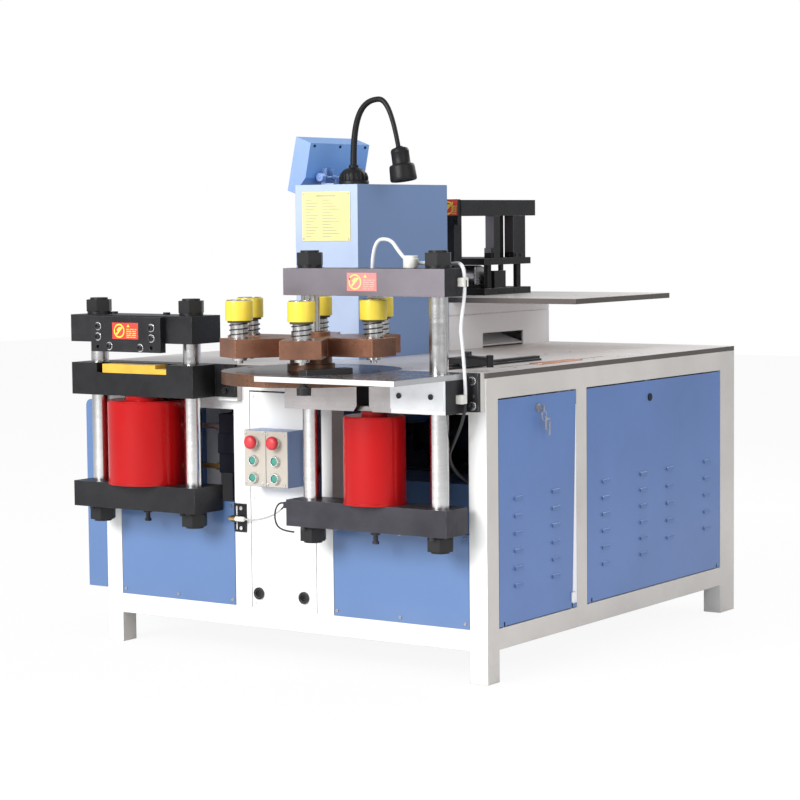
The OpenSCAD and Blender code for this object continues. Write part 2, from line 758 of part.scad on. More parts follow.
// Green push-buttons
module push_button(x, z) color("mediumseagreen") place() {
  rod_y(x, button_face - 5 - button_travel, z, 11, 14 + button_travel);
  rod_y(x, button_face - 5 - button_travel, z, 6, 26 + button_travel);
}

module button_1() push_button(button_cols[0], button_rows[1]);
module button_2() push_button(button_cols[1], button_rows[1]);
module button_3() push_button(button_cols[0], button_rows[2]);
module button_4() push_button(button_cols[1], button_rows[2]);

// Plates and rod bores shared by the three plates of each press
module shear_plate(z, t, back) translate([shear_left, press_y + back, z])
  cube([shear_w, shear_d - back, t]);

module shear_bores(r) for (s = [-1, 1])
  rod(-shear_x + s * shear_pitch / 2, shear_y, shear_low_z - 1, r, shear_top_end - shear_low_z + 2);

module punch_plate(z, t) translate([punch_left, press_y, z]) cube([punch_w, punch_d, t]);

module punch_bores(r) for (s = [-1, 1])
  rod(-punch_x + s * punch_pitch / 2, punch_y, punch_low_z - 1, r, punch_top_end - punch_low_z + 2);

// Shear press: plates that ride on its tie rods
module shear_lower_yoke() color("dimgray") place() {
  difference() {
    shear_plate(shear_low_z, shear_low_t, 0);
    shear_bores(rod_r);
  }
  bleed_screw(-shear_x, shear_y, shear_low_z);
  for (s = [-1, 1]) socket_cap(-shear_x + s * 178, shear_y - 52, shear_low_z);
}

// Bleed screw hanging below a cylinder
module bleed_screw(x, y, z) {
  hex(x, y, z - 14, 26, 14);
  rod(x, y, z - 34, 7, 20);
  rod(x, y, z - 40, 10, 8);
}

module socket_cap(x, y, z) rod(x, y, z - 9, 8, 9);

module shear_upper_yoke() color("dimgray") place() {
  difference() {
    shear_plate(shear_top_z, shear_top_t, 0);
    shear_bores(rod_r);
    for (x = [-36, 36]) rod(x - shear_x, shear_y, shear_top_end - 14, 6, 15);
  }
  for (s = [-1, 1]) rod(-shear_x - 34 + s * 104, shear_y + 20, shear_top_end, 11, 7);
}

// Tie rods with their washers and nuts
module tie_rods(x, y, pitch, low, top) for (s = [-1, 1]) {
  u = x + s * pitch / 2;
  rod(u, y, low - washer_t - nut_h - 6, rod_r, top - low + 2 * (washer_t + nut_h + 6));
  for (z = [low - washer_t, top]) difference() {
    rod(u, y, z, nut_af / 2 + 1, washer_t);
    rod(u, y, z - 1, rod_r, washer_t + 2);
  }
  for (z = [low - washer_t - nut_h, top + washer_t]) difference() {
    hex(u, y, z, nut_af, nut_h);
    rod(u, y, z - 1, rod_r, nut_h + 2);
  }
}

module shear_tie_rods() color("silver") place()
  tie_rods(-shear_x, shear_y, shear_pitch, shear_low_z, shear_top_end);

// Hydraulic cylinder standing on a lower yoke
module cylinder_body(x, y, z, r, top, ram) difference() {
  union() {
    rod(x, y, z, r, top - z - 4);
    rod(x, y, top - 4, r - 4, 4);
    rod(x, y, z, r + 2, 6);
  }
  rod(x, y, z + 24, ram + slide_fit, top - z);
}

module shear_cylinder() color("red") place()
  cylinder_body(-shear_x, shear_y, shear_low_top, shear_cyl_d / 2, shear_cyl_top, shear_ram_d / 2);

module punch_cylinder() color("red") place()
  cylinder_body(-punch_x, punch_y, punch_low_top, punch_cyl_d / 2, punch_cyl_top, punch_ram_d / 2);

// Rams, fixed under the beds
module rams() color("red") place() {
  ram(-shear_x, shear_y, shear_cyl_top - ram_guide - shear_stroke, shear_bed_z, shear_ram_d / 2);
  ram(-punch_x, punch_y, punch_cyl_top - ram_guide - punch_stroke, punch_bed_z, punch_ram_d / 2);
}

module ram(x, y, z0, z1, r) {
  rod(x, y, z0 + 3, r, z1 - z0 - 3);
  rod(x, y, z0, r - 3, 3);
}

// Shear bed, bored for the rods, with a pocket for the lower blade
module shear_bed() color("dimgray") place() {
  difference() {
    shear_plate(shear_bed_z, shear_bed_t, 0.4);
    shear_bores(bore_r);
    block([feed_x, press_y - 1, feed_z], [feed_x + feed_w, press_y + 60, shear_bed_top + 1]);
  }
  ear([shear_right - 9, shear_right + 73], [shear_bed_z, shear_bed_top + 1],
    [shear_right + 39], [shear_bed_z + 20, shear_bed_top - 19]);
}

// Mounting ear with its socket screws
module ear(x, z, bolts, heights) difference() {
  union() {
    block([x[0], ear_y, z[0]], [x[1], ear_back, z[1]]);
    for (u = bolts, v = heights) rod_y(u, ear_y - 9, v, 9, 9);
  }
  for (u = bolts, v = heights) translate([u, ear_y - 10, v]) rotate([-90, 0, 0])
    cylinder(r = 4.6, h = 6, $fn = 6);
}

// Upper blade plate with its socket screws, in front of the upper yoke
module shear_blade_holder() color("dimgray") place() {
  y = press_y - 24;
  x = feed_x + 3;
  w = feed_w - 3;
  z0 = shear_top_z - 27;
  z1 = shear_top_end - 3;
  difference() {
    block([x, y, z0], [x + w, press_y, z1]);
    for (u = [x + 26, x + w - 36]) rod_y(u, y - 1, z0 + 14, 6, 10);
    block([x + 84, y - 1, z0 + 38], [x + 188, y + 1, z0 + 89]);
  }
  block([x + 85, y + 0.2, z0 + 39], [x + 187, y + 1, z0 + 88]);
  for (b = [[28, 76], [27, 45], [72, 17], [237, 74], [237, 43], [193, 14]])
    socket_head(x + b[0], y, z0 + b[1], 9, 8);
}

// Stepped feed block that backs the bar at the lower blade
module feed_block() color("gold") place() {
  y = press_y + 1;
  block([feed_x + 23, y, feed_z], [feed_x + 232, y + 58, feed_z + 27]);
  block([feed_x + 232, y, feed_z], [feed_x + feed_w - 1, y + 58, feed_z + 16]);
}

// Punch press: plates that ride on its tie rods
module punch_lower_yoke() color("dimgray") place() {
  difference() {
    punch_plate(punch_low_z, punch_low_t);
    punch_bores(rod_r);
  }
  bleed_screw(-punch_x, punch_y, punch_low_z);
  for (s = [-1, 1]) socket_cap(-punch_x + s * 222, punch_y - 45, punch_low_z);
  // Clip for the shear press's sensor lead, and the loop of lead below it
  x = punch_left;
  y = press_y + 6;
  z = punch_low_z;
  block([x - 12, press_y + 2, z + 50], [x, press_y + 22, z + 68]);
  hose([x - 10, y, z + 64], [x - 44, y, z + 72], [x - 56, y, z + 20], [x - 40, y + 4, z - 4], 2.7, 8, 6);
  hose([x - 40, y + 4, z - 4], [x - 30, y + 8, z - 18], [x - 10, y + 20, z - 20],
    [x + 4, y + 26, z - 22], 2.7, 6, 6);
}

// Upper yoke, with the height sensor's cap and its leads
module punch_upper_yoke() color("dimgray") place() {
  difference() {
    punch_plate(punch_top_z, punch_top_t);
    punch_bores(rod_r);
  }
  z = punch_top_end;
  rod(cap_x, punch_y, z, 21, 26);
  rod(cap_x, punch_y, z + 26, 19, 8);
  lead_loop([cap_x - 131, punch_y, z - 2], [cap_x - 93, punch_y, z + 81], [cap_x - 16, punch_y, z + 24]);
  // Lead round the back of the right nut to its clip
  block([punch_right, clip_y - 22, clip_top_z - clip_h / 2],
    [punch_right + 10, clip_y + 3, clip_top_z + clip_h / 2]);
  p = [cap_x + 12, punch_y + 6, z + 15];
  q = [punch_right - 48, punch_y + 50, z + 11];
  e = [lead_x, lead_y, clip_top_z];
  hose(p, p + [22, 26, 0], q - [28, 0, 2], q, lead_r, 5);
  hose(q, q + [28, 0, 2], e + [0, 0, 62], e, lead_r, 8);
  rod(lead_x, lead_y, clip_top_z - clip_h / 2, lead_r + 1, clip_h / 2 + 6);
}

module lead_loop(a, m, b) {
  hose(a, a + [2, 0, 52], m - [26, 0, 0], m, lead_r, 10);
  hose(m, m + [42, 0, 0], b + [-42, 0, 34], b, lead_r, 10);
}

module punch_tie_rods() color("silver") place()
  tie_rods(-punch_x, punch_y, punch_pitch, punch_low_z, punch_top_end);

// Punch bed, cut down beneath the die disc, with its slug slot and cover plate
module punch_bed() color("silver") place() {
  z0 = punch_bed_z;
  difference() {
    punch_plate(z0, punch_bed_t);
    disc_space();
    punch_bores(bore_r);
    slug_slot();
  }
  difference() {
    union() {
      rod(turret_x, turret_y, disc_seat, hub_r - 8, disc_z - disc_seat);
      rod(turret_x, turret_y, disc_seat, bush_r, bush_h);
    }
    rod(turret_x, turret_y, disc_seat - 1, bore_r, bush_h + 2);
  }
  block([punch_right - 177, press_y - 10, z0 + 13], [punch_right - 1, press_y, punch_bed_top]);
  for (x = [punch_right - 147, punch_right - 41]) socket_head(x, press_y - 10, z0 + 50, 8, 3);
  ear([punch_right - 1, punch_right + 38], [z0 + 2, table_top + 2], [punch_right + 19],
    [z0 + 19, punch_bed_top - 5]);
  rod_y(punch_right + 22, ear_y - 2, z0 + 47, 4, 2);
  block([punch_right, clip_y - 35, clip_low_z - clip_h / 2],
    [punch_right + 10, clip_y - 10, clip_low_z + clip_h / 2]);
}

// Slot that lets slugs fall clear in front of the cylinder
module slug_slot() {
  z = punch_bed_z;
  block([slot_x, press_y - 1, z + 14], [slot_x + slot_w, punch_y + 18, punch_bed_top + 1]);
  translate([0, press_y - 1, 0]) multmatrix([[1, 0, 0, 0], [0, 0, 1, 0], [0, 1, 0, 0], [0, 0, 0, 1]])
    linear_extrude(22) polygon([[slot_x, z + 14.5], [slot_x + slot_w, z + 14.5],
      [slot_x + slot_w + 12, z - 1], [slot_x - 12, z - 1]]);
}

// Turret, turning on the left tie rod: three crossed bars carry six punches
module turret_plate() color("saddlebrown") place() difference() {
  union() {
    translate([turret_x, turret_y, arm_z]) linear_extrude(arm_t) star();
    rod(turret_x, turret_y, arm_top, bush_r + 10, 14);
  }
  rod(turret_x, turret_y, arm_z - 1, bush_r + slide_fit, 100);
  for (i = [0:5]) translate([turret_x, turret_y, arm_z - 1]) rotate(60 * i) translate([punch_r, 0, 0])
    cylinder(r = shank_r + slide_fit, h = arm_t + 2);
}

module star() for (i = [0:2]) rotate(60 * i) square([2 * arm_r, arm_w], center = true);

// Die disc and its hub; a bore under every punch
module die_disc() color("saddlebrown") place() difference() {
  union() {
    rod(turret_x, turret_y, disc_z, disc_r, disc_t);
    rod(turret_x, turret_y, table_top, hub_r, arm_z - table_top);
    rod(turret_x, turret_y, table_top, hub_r + 8, 18);
  }
  rod(turret_x, turret_y, disc_z - 1, bush_r + slide_fit, 100);
  for (i = [0:5]) translate([turret_x, turret_y, disc_z - 1]) rotate(60 * i) translate([punch_r, 0, 0]) {
    cylinder(r = nose_r + 0.4, h = disc_t + 2);
    cylinder(r = 16, h = disc_t - 9);
  }
}

// Sprung punch: urethane stripper head, guided shank and nose
module punch_tool(i) color("gold") place()
  translate([turret_x, turret_y, 0]) rotate(60 * i) translate([punch_r, 0, 0]) {
    difference() {
      union() {
        translate([0, 0, sleeve_z + 6]) cylinder(r = sleeve_d / 2, h = sleeve_h - 10);
        translate([0, 0, sleeve_z + 6]) cylinder(r = sleeve_d / 2 - 2, h = sleeve_h - 1);
      }
      translate([0, 0, punch_head_z - 6]) cylinder(r = 26, h = 7);
    }
    translate([0, 0, sleeve_z]) cylinder(r = 33, h = 7);
    translate([0, 0, sleeve_z + 10]) cylinder(r = 24, h = punch_head_z - sleeve_z - 12);
    translate([0, 0, arm_z - 1]) cylinder(r = shank_r, h = sleeve_z - arm_z + 2);
    translate([0, 0, arm_z - 9]) cylinder(r = stub_r, h = 9);
    translate([0, 0, arm_z - 17]) cylinder(r = nose_r, h = 9);
  }

module punch_1() punch_tool(0);
module punch_2() punch_tool(1);
module punch_3() punch_tool(2);
module punch_4() punch_tool(3);
module punch_5() punch_tool(4);
module punch_6() punch_tool(5);

module punch_spring(i) color("dimgray") place()
  translate([turret_x, turret_y, 0]) rotate(60 * i) translate([punch_r, 0, 0])
    coil(0, 0, arm_top, (shank_r + spring_wire / 2 + run_gap) / cos(18), spring_wire / 2,
      sleeve_z - arm_top, 3);

module spring_1() punch_spring(0);
module spring_2() punch_spring(1);
module spring_3() punch_spring(2);
module spring_4() punch_spring(3);
module spring_5() punch_spring(4);
module spring_6() punch_spring(5);

// Pedestal of the bending press, with its scrap opening and chute
module bend_pedestal() color("whitesmoke") place() {
  x0 = -pedestal_x - pedestal_w;
  x1 = -pedestal_x;
  y0 = pedestal_y;
  y1 = y0 + pedestal_l;
  seam = pedestal_top - 44;
  difference() {
    union() {
      block([x0, y0, table_top], [x1, y1, seam]);
      block([x0 + 2, y0 + 2, seam], [x1 - 2, y1 - 2, seam + 3]);
      block([x0, y0, seam + 3], [x1, y1, pedestal_top]);
    }
    block([x0 + 6, y0 + 6, table_top - 1], [x1 - 6, y1 - 6, pedestal_top - 8]);
    block([x1 - 7, y0 + 203, table_top - 1], [x1 + 1, y0 + 458, table_top + 48]);
  }
  translate([x1 - 5, y0 + 204, table_top + 5]) rotate([0, 18, 0])
    translate([-190, 0, 0]) cube([190, 253, 4]);
}

module bend_table() color("slategray") place() {
  x1 = -bend_table_x;
  difference() {
    block([x1 - bend_table_w, pedestal_y + 23, pedestal_top], [x1, back_y, bend_table_z]);
    for (u = [60, 180, 300], v = [98, 218, 338]) rod(x1 - u, pedestal_y + v, bend_table_z - 8, 5, 9);
  }
}

// Frame of the bending press: two plates on round pillars, the cylinder block
// and vee block between them, and the columns of the top beam
module bend_frame() color("dimgray") place() {
  x0 = bend_left;
  x1 = bend_right;
  y0 = bend_y;
  y1 = bend_y + bend_d;
  block([x0, y0, bend_table_z], [x1, y1, bend_low_z]);
  block([x0, y0, bend_mid_z], [x1, y1, bend_mid_top]);
  for (x = [x0 + 22, x1 - 18], y = [y0 + 47, y1 - 60]) rod(x, y, bend_low_z, 12.5, bend_gap);
  // Columns at the right, with the foot block and bolts in front of them
  block([x1 - 33, y0 + 59, bend_mid_top], [x1, y0 + 97, bend_top_z]);
  block([x1 - 36, y0 + 184, bend_mid_top], [x1, y0 + 260, bend_top_z]);
  block([x1 - 55, y0 + 97, bend_mid_top], [x1 - 40, y0 + 184, bend_top_z]);
  block([x1 - 33, y0 + 51, bend_mid_top], [x1 - 5, y0 + 59, bend_mid_top + 34]);
  for (y = [y0 + 200, y0 + 232]) rod_x(x1, y, bend_mid_top + 8, 6, 3);
  rod_y(x1 - 20, y0 + 180, bend_mid_top + 8, 6, 4);
  block([x1 - 85, pedestal_y + 103, bend_table_z], [x1 - 40, pedestal_y + 148, bend_top_z]);
  for (y = [y0 + 94, y0 + 194]) rod_x(x1, y, bend_table_z + 11, 4, 1.5);
  // Cylinder block of the ram
  difference() {
    block([x0, ram_y - 54, bend_low_z], [x0 + bend_cyl_l, ram_y + 54, bend_mid_z]);
    rod_x(x0 + 22, ram_y, ram_z, bend_ram_d / 2 + slide_fit, bend_cyl_l);
  }
  // Vee block that the ram's nose closes on
  translate([0, 0, bend_low_z]) linear_extrude(bend_gap - 20) polygon([[x1 - 2, ram_y - 35],
    [x1 - 2, ram_y + 35], [vee_x, ram_y + 35], [vee_x, ram_y + 30], [vee_x + 22, ram_y + 5],
    [vee_x + 22, ram_y - 5], [vee_x, ram_y - 30], [vee_x, ram_y - 35]]);
  rod(x1 - 16, ram_y + 26, bend_mid_z - 21, 9, 21);
  // Rails that guide the nose block
  for (y = [ram_y - 44, ram_y + 32 + run_gap])
    block([x0 + bend_cyl_l, y, bend_low_z], [nose_x + 26, y + 12 - run_gap, bend_low_z + 12]);
}

// Top beam with the label plate at its near end
module bend_top() color("dimgray") place() {
  x1 = bend_right;
  y0 = pedestal_y + 85;
  block([x1 - 75, y0, bend_top_z], [x1, y0 + 465, bend_top_z + 53]);
  block([x1 - 110, y0 - 17, bend_top_z - 28], [x1 - 3, y0, bend_top_z + 55]);
  for (x = [x1 - 85, x1 - 25]) rod_y(x, y0 - 23, bend_top_z - 16, 6, 6);
}

// Bending ram with the wedge nose that closes into the vee block
module bend_die() color("silver") place() {
  rod_x(bend_left + 27, ram_y, ram_z, bend_ram_d / 2, nose_x - bend_left - 27);
  translate([0, 0, bend_low_z + run_gap]) linear_extrude(bend_gap - 8)
    polygon([[nose_x, ram_y - 32], [nose_x, ram_y + 32], [nose_x + 6, ram_y + 32],
      [nose_x + 26, ram_y + 3], [nose_x + 26, ram_y - 3], [nose_x + 6, ram_y - 32]]);
}

// Control cabinet with its instruction plate, mounting plate and screen bracket
module control_cabinet() color("cornflowerblue") place() {
  x1 = cab_x + cabinet_w;
  y1 = cabinet_y + cabinet_l;
  difference() {
    block([cab_x, cabinet_y, table_top], [x1, y1, cab_top]);
    block([cab_x + sheet, cabinet_y + sheet, table_top - 1], [x1 - sheet, y1 - sheet, cab_top - sheet]);
  }
  block([cab_x + 27, cabinet_y - 1, cab_top - 172], [x1 - 27, cabinet_y, cab_top - 22]);
  // Mounting plate with the relays and drives
  block([cab_x + 30, cabinet_y + 40, table_top + 40], [cab_x + 33, y1 - 56, cab_top - 60]);
  for (z = [table_top + 83 : 120 : cab_top - 150], y = [60, 150, 240, 330])
    block([cab_x + 33, cabinet_y + y, z], [cab_x + 100, cabinet_y + y + 70, z + 90]);
  block([cab_x + 2, cabinet_y + 100, table_top + 80], [cab_x + 30, cabinet_y + 380, table_top + 84]);
  // Screen bracket
  block([tilt_x - 8, lug_y[0], cab_top], [tilt_x + 40, lug_y[1] + 4, cab_top + 6]);
  for (y = lug_y) difference() {
    union() {
      block([tilt_x - 8, y, cab_top], [tilt_x + 8, y + 4, tilt_z]);
      rod_y(tilt_x, y, tilt_z, 8, 4);
    }
    rod_y(tilt_x, y - 1, tilt_z, 4.05, 6);
  }
}

// Operator panel: wedge housing with a sloping screen, on a clamped pivot
module hmi_housing() color("steelblue") place() {
  difference() {
    hmi_wedge(hmi_y, hmi_w, 0);
    hmi_wedge(hmi_y + sheet, hmi_w - 2 * sheet, sheet);
  }
  translate([tilt_x - 53, hmi_y + 12, tilt_z + 126]) rotate([0, 12.2, 0]) translate([-3.5, 0, -160])
    cube([4, hmi_w - 24, 150]);
  for (y = [lug_y[0] + 11, lug_y[1] - 9]) {
    block([tilt_x - 22, y, tilt_z], [tilt_x + 4, y + 4, tilt_z + 28]);
    rod_y(tilt_x, y, tilt_z, 8, 4);
  }
  rod_y(tilt_x, lug_y[0] - 22, tilt_z, 4, lug_y[1] - lug_y[0] + 44);
  rod_y(tilt_x, lug_y[0] - 20, tilt_z, 13, 16);
}

module hmi_wedge(y, l, t) translate([tilt_x, y + l, tilt_z]) rotate([90, 0, 0]) linear_extrude(l)
  polygon([[-53 + t * 0.6, 126 - t * 1.4], [3 - t, 105 - t * 0.8], [-19 - t, -2 + t],
    [-61 - t * 0.2, -50 + t * 1.6], [-89 + t * 1.3, -41 + t * 0.6]]);

// Gooseneck work lamp on its domed foot
module signal_lamp() color("black") place() {
  rod(lamp_x, lamp_y, cab_top, 53, 13);
  rod(lamp_x, lamp_y, cab_top + 13, 41, 8);
  intersection() {
    translate([lamp_x, lamp_y, cab_top + 12]) sphere(r = 41);
    rod(lamp_x, lamp_y, cab_top + 20, 41, 40);
  }
  rod(lamp_x, lamp_y, cab_top + 48, 15, 12);
  r = neck_d / 2;
  top = [lamp_x + 96, lamp_y, cab_top + 258];
  end = [head_x - 2, lamp_y, head_z - 4];
  hose([lamp_x, lamp_y, cab_top + 46], [lamp_x, lamp_y, cab_top + 177],
    [lamp_x + 16, lamp_y, top[2]], top, r, 14, 12, r * 0.8);
  hose(top, top + [30, 0, 0], end + [-20, 0, 102], end, r * 0.8, 10, 12, r * 0.72);
  translate([head_x, lamp_y, head_z]) rotate([0, -9, 0]) lamp_head(lamp_d / 2);
}

// Lamp head hanging from the neck: a cap, then a flared body open at the lower end
module lamp_head(r) difference() {
  rotate([180, 0, 0]) rotate_extrude() polygon([[0, 0], [12, 0], [24, 3], [28, 9], [29, 46],
    [31, 48], [32, 60], [r - 1, 92], [r, 97], [r - 2, head_h - 2], [r - 5, head_h], [0, head_h]]);
  translate([0, 0, -head_h - 1]) cylinder(r = r - 9, h = 19);
}

// Stop gauge: graduated rail, clamped carriage and folding stop lever
module gauge_rail() color("dimgray") place() difference() {
  union() {
    block([gauge_x - 16, gauge_y, table_top], [gauge_x + 16, gauge_y + gauge_l, table_top + 6]);
    block([gauge_x - 10, gauge_y, table_top + 6], [gauge_x + 10, gauge_y + gauge_l, table_top + 14]);
  }
  for (y = [gauge_y + 14, gauge_y + gauge_l - 14]) rod(gauge_x, y, table_top + 9, 6, 6);
}

module gauge_block() color("dimgray") place() {
  z = table_top + 30;
  difference() {
    block([gauge_x - 37, gauge_y + 73, table_top + 6 + run_gap], [gauge_x + 37, gauge_y + 190, z]);
    translate([gauge_x - 10 - run_gap, gauge_y + 72, table_top])
      cube([20 + 2 * run_gap, 120, 14 + run_gap]);
  }
  hex(gauge_x - 16, gauge_y + 160, z, 22, 14);
  rod(gauge_pin_x, gauge_pin_y, z, 6, 16);
}

module gauge_lever() color("black") place() translate([gauge_pin_x, gauge_pin_y, table_top + 30 + run_gap]) {
  difference() {
    union() {
      cylinder(r = 14, h = 9);
      rotate(-35) translate([8, -9, 0.5]) cube([162, 18, 7.5]);
    }
    translate([0, 0, -1]) cylinder(r = 6 + slide_fit, h = 12);
  }
  rotate(-35) translate([168, 0, -18]) cylinder(r = 10, h = 34);
}

// Oil tank on the frame's cross members, with filler and gauge
module oil_tank() color("steelblue") place() {
  x0 = left_x + 255;
  x1 = -250;
  z = rail_top;
  difference() {
    block([x0, tank_y[0], z], [x1, tank_y[1], z + tank_h]);
    block([x0 + 3, tank_y[0] + 3, z + 3], [x1 - 3, tank_y[1] - 3, z + tank_h - 3]);
  }
  rod(x1 - 90, tank_y[0] + 90, z + tank_h, 32, 40);
  block([x1 - 12, tank_y[0] + 180, z + 110], [x1 + 12, tank_y[0] + 210, z + 240]);
  rod_x(x1, tank_y[1] - 110, z + 30, 14, 24);
}

// Motor and pump on the tank
module pump_unit() color("gray") place() {
  z = pump_z;
  y = pump_y;
  block([-960, y - 90, z], [-560, y + 90, z + 14]);
  rod_x(-800, y, shaft_z, 80, 230);
  rod_x(-570, y, shaft_z, 60, 50);
  rod_x(-520, y, shaft_z, 46, 70);
  for (x = [-770, -640]) block([x, y - 60, z + 14], [x + 40, y + 60, z + 60]);
  block([-870, y - 50, z + 14], [-801, y + 50, z + 60]);
  rod_x(-860, y, shaft_z, 20, 62);
  block([-900, y - 45, z + 14], [-860, y + 45, z + 150]);
  block([-760, y - 40, z + 180], [-690, y + 40, z + 224]);
  valve_block();
}

// Valve block on its bracket behind the left bay, with two hose fittings
module valve_block() {
  x = valve_x;
  z = pump_z;
  block([x - 55, 72, z + 58], [x, 190, z + 238]);
  block([x - 55, 66, z + 118], [-bay_post_a + 35, 72, z + 178]);
  block([-bay_post_a + 2, tube, z + 118], [-bay_post_a + 35, 66, z + 178]);
  for (v = fitting_z) {
    rod_x(x - 140, 100, v, 8, 85);
    translate([x - 85, 100, v]) rotate([0, 90, 0]) cylinder(r = 12, h = 16, $fn = 6);
  }
}

// Slotted bracket of the shear press's end sensor
module sensor_bracket() color("black") place() {
  x = -bay_post_a;
  z = rail_top + 224;
  difference() {
    block([x, -5, z], [x + 45, 0, z + 85]);
    block([x + 4, -6, z + 6], [x + 13, 1, z + 78]);
  }
  block([x + 2, -22, z + 32], [x + 34, -5, z + 50]);
  rod_x(x - 5, -16, z + 41, 6, 54);
  rod_x(x - 9, -16, z + 41, 3.5, 4);
  for (u = [12, 72]) rod_y(x + 30, -8, z + u, 6, 3);
}

// Hoses and sensor leads inside the frame
module leads() color("black") place() {
  // From the fittings to the back of the shear cylinder
  back = shear_y + shear_cyl_d / 2 + 1.2;
  for (v = fitting_z)
    hose([valve_x - 140, 100, v], [valve_x - 180, 100, v], [-shear_x, 105, v], [-shear_x, back, v], 9, 8, 8);
  // From the valve block to the back of the punch cylinder, and from the pump
  hose([valve_x + 0.5, 130, pump_z + 98], [valve_x + 195, 130, pump_z + 98], [-punch_x, 260, pump_z + 78],
    [-punch_x, punch_y + punch_cyl_d / 2 + 1.2, pump_z + 78], 10, 14, 8);
  hose([-880, pump_y - 45, pump_z + 118], [-880, 600, pump_z + 118], [valve_x - 28, 500, pump_z + 168],
    [valve_x - 28, 190, pump_z + 168], 10, 12, 8);
  // Lead of the shear press's end sensor
  z = rail_top + 265;
  hose([-bay_post_a + 49, -16, z], [-bay_post_a + 95, -16, z - 5], [punch_left - 84, -80, punch_low_z + 12],
    [punch_left - 15, press_y + 13, punch_low_z + 56], 2.7, 12, 6);
  // Lead of the height sensor, from its lower clip into the frame
  e = [lead_x - 63, lead_y + 16, clip_low_z - 153];
  hose([lead_x, lead_y, clip_low_z + clip_h / 2], [lead_x, lead_y, clip_low_z - 63],
    [lead_x - 33, lead_y + 12, clip_low_z - 93], e, lead_r, 10, 6);
  hose(e, e - [12, -4, 35], [-tube - 50, tube / 2, e[2] - 80], [-tube - 3, tube / 2, e[2] - 95], lead_r, 8, 6);
}

// Lead from the moving upper yoke down to its clip on the bed
module press_lead() color("lightgray") place() {
  m = [lead_x - 7, lead_y - 8, punch_open_h / 2 + table_top];
  hose([lead_x, lead_y, clip_top_z - clip_h / 2], [lead_x, lead_y, clip_top_z - 60],
    m + [-1, -6, 40], m, lead_r, 8, 8);
  hose(m, m - [-1, -6, 40], [lead_x, lead_y, clip_low_z + 60], [lead_x, lead_y, clip_low_z + clip_h / 2],
    lead_r, 8, 8);
}

frame();
table_plates();
punch_table();
fixed_panels();
centre_cover();
side_box();
side_panel_front();
side_panel_rear();
lock_front();
lock_rear();
button_box();
estop_left();
estop_right();
button_1();
button_2();
button_3();
button_4();
shear_lower_yoke();
shear_upper_yoke();
shear_tie_rods();
shear_cylinder();
shear_bed();
shear_blade_holder();
feed_block();
punch_lower_yoke();
punch_upper_yoke();
punch_tie_rods();
punch_cylinder();
punch_bed();
rams();
turret_plate();
die_disc();
punch_1();
punch_2();
punch_3();
punch_4();
punch_5();
punch_6();
spring_1();
spring_2();
spring_3();
spring_4();
spring_5();
spring_6();
bend_pedestal();
bend_table();
bend_frame();
bend_top();
bend_die();
control_cabinet();
hmi_housing();
signal_lamp();
gauge_rail();
gauge_block();
gauge_lever();
oil_tank();
pump_unit();
sensor_bracket();
leads();
press_lead();
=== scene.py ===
import bpy, bmesh, math
from mathutils import Vector, Matrix


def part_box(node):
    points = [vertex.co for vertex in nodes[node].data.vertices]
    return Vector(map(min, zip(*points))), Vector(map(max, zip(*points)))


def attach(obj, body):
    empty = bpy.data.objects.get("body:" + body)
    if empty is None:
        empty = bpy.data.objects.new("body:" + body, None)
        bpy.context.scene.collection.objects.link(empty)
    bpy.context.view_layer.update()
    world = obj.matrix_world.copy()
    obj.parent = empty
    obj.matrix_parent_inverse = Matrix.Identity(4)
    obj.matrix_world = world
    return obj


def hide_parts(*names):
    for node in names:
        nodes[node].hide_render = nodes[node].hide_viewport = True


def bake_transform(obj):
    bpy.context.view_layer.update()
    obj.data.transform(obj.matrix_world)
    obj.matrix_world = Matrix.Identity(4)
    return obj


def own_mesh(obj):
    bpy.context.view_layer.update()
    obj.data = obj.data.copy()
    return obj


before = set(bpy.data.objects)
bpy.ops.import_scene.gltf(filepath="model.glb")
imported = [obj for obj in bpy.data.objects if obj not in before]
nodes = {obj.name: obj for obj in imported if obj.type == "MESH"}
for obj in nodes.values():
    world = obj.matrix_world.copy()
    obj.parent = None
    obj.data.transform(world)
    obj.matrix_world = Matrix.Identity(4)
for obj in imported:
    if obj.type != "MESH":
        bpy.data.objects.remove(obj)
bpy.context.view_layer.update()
scene = bpy.context.scene

# The machine was laid out from its frame's near right corner, in millimetres
cornerX, cornerY = 0.76525, -0.570


def place(x, y, z):
    # a layout point, in the frame's metres
    return Vector((x / 1000 + cornerX, y / 1000 + cornerY, z / 1000))


toFront, toRight, toTop = (0, -1, 0), (1, 0, 0), (0, 0, 1)


# Camera, made first
cameraSettings = {"lens": 106.413, "yaw": 34.4705, "pitch": 4.3942, "roll": -0.5486,
                  "spot": (3505.76, -5530.16, 1307.86)}


def makeCamera(s):
    yaw, pitch, roll = (math.radians(s[k]) for k in ("yaw", "pitch", "roll"))
    ahead = Vector((-math.sin(yaw) * math.cos(pitch), math.cos(yaw) * math.cos(pitch), -math.sin(pitch)))
    right = Vector((math.cos(yaw), math.sin(yaw), 0))
    up = right.cross(ahead)
    side = right * math.cos(roll) + up * math.sin(roll)
    top = up * math.cos(roll) - right * math.sin(roll)
    data = bpy.data.cameras.new("camera")
    data.lens = s["lens"]
    data.sensor_width = 36
    data.clip_end = 60
    camera = bpy.data.objects.new("camera", data)
    m = Matrix((side, top, -ahead)).transposed().to_4x4()
    m.translation = place(*s["spot"])
    camera.matrix_world = m
    scene.collection.objects.link(camera)
    scene.camera = camera


makeCamera(cameraSettings)
print("camera ready")

# Shader groups: effects that several finishes share


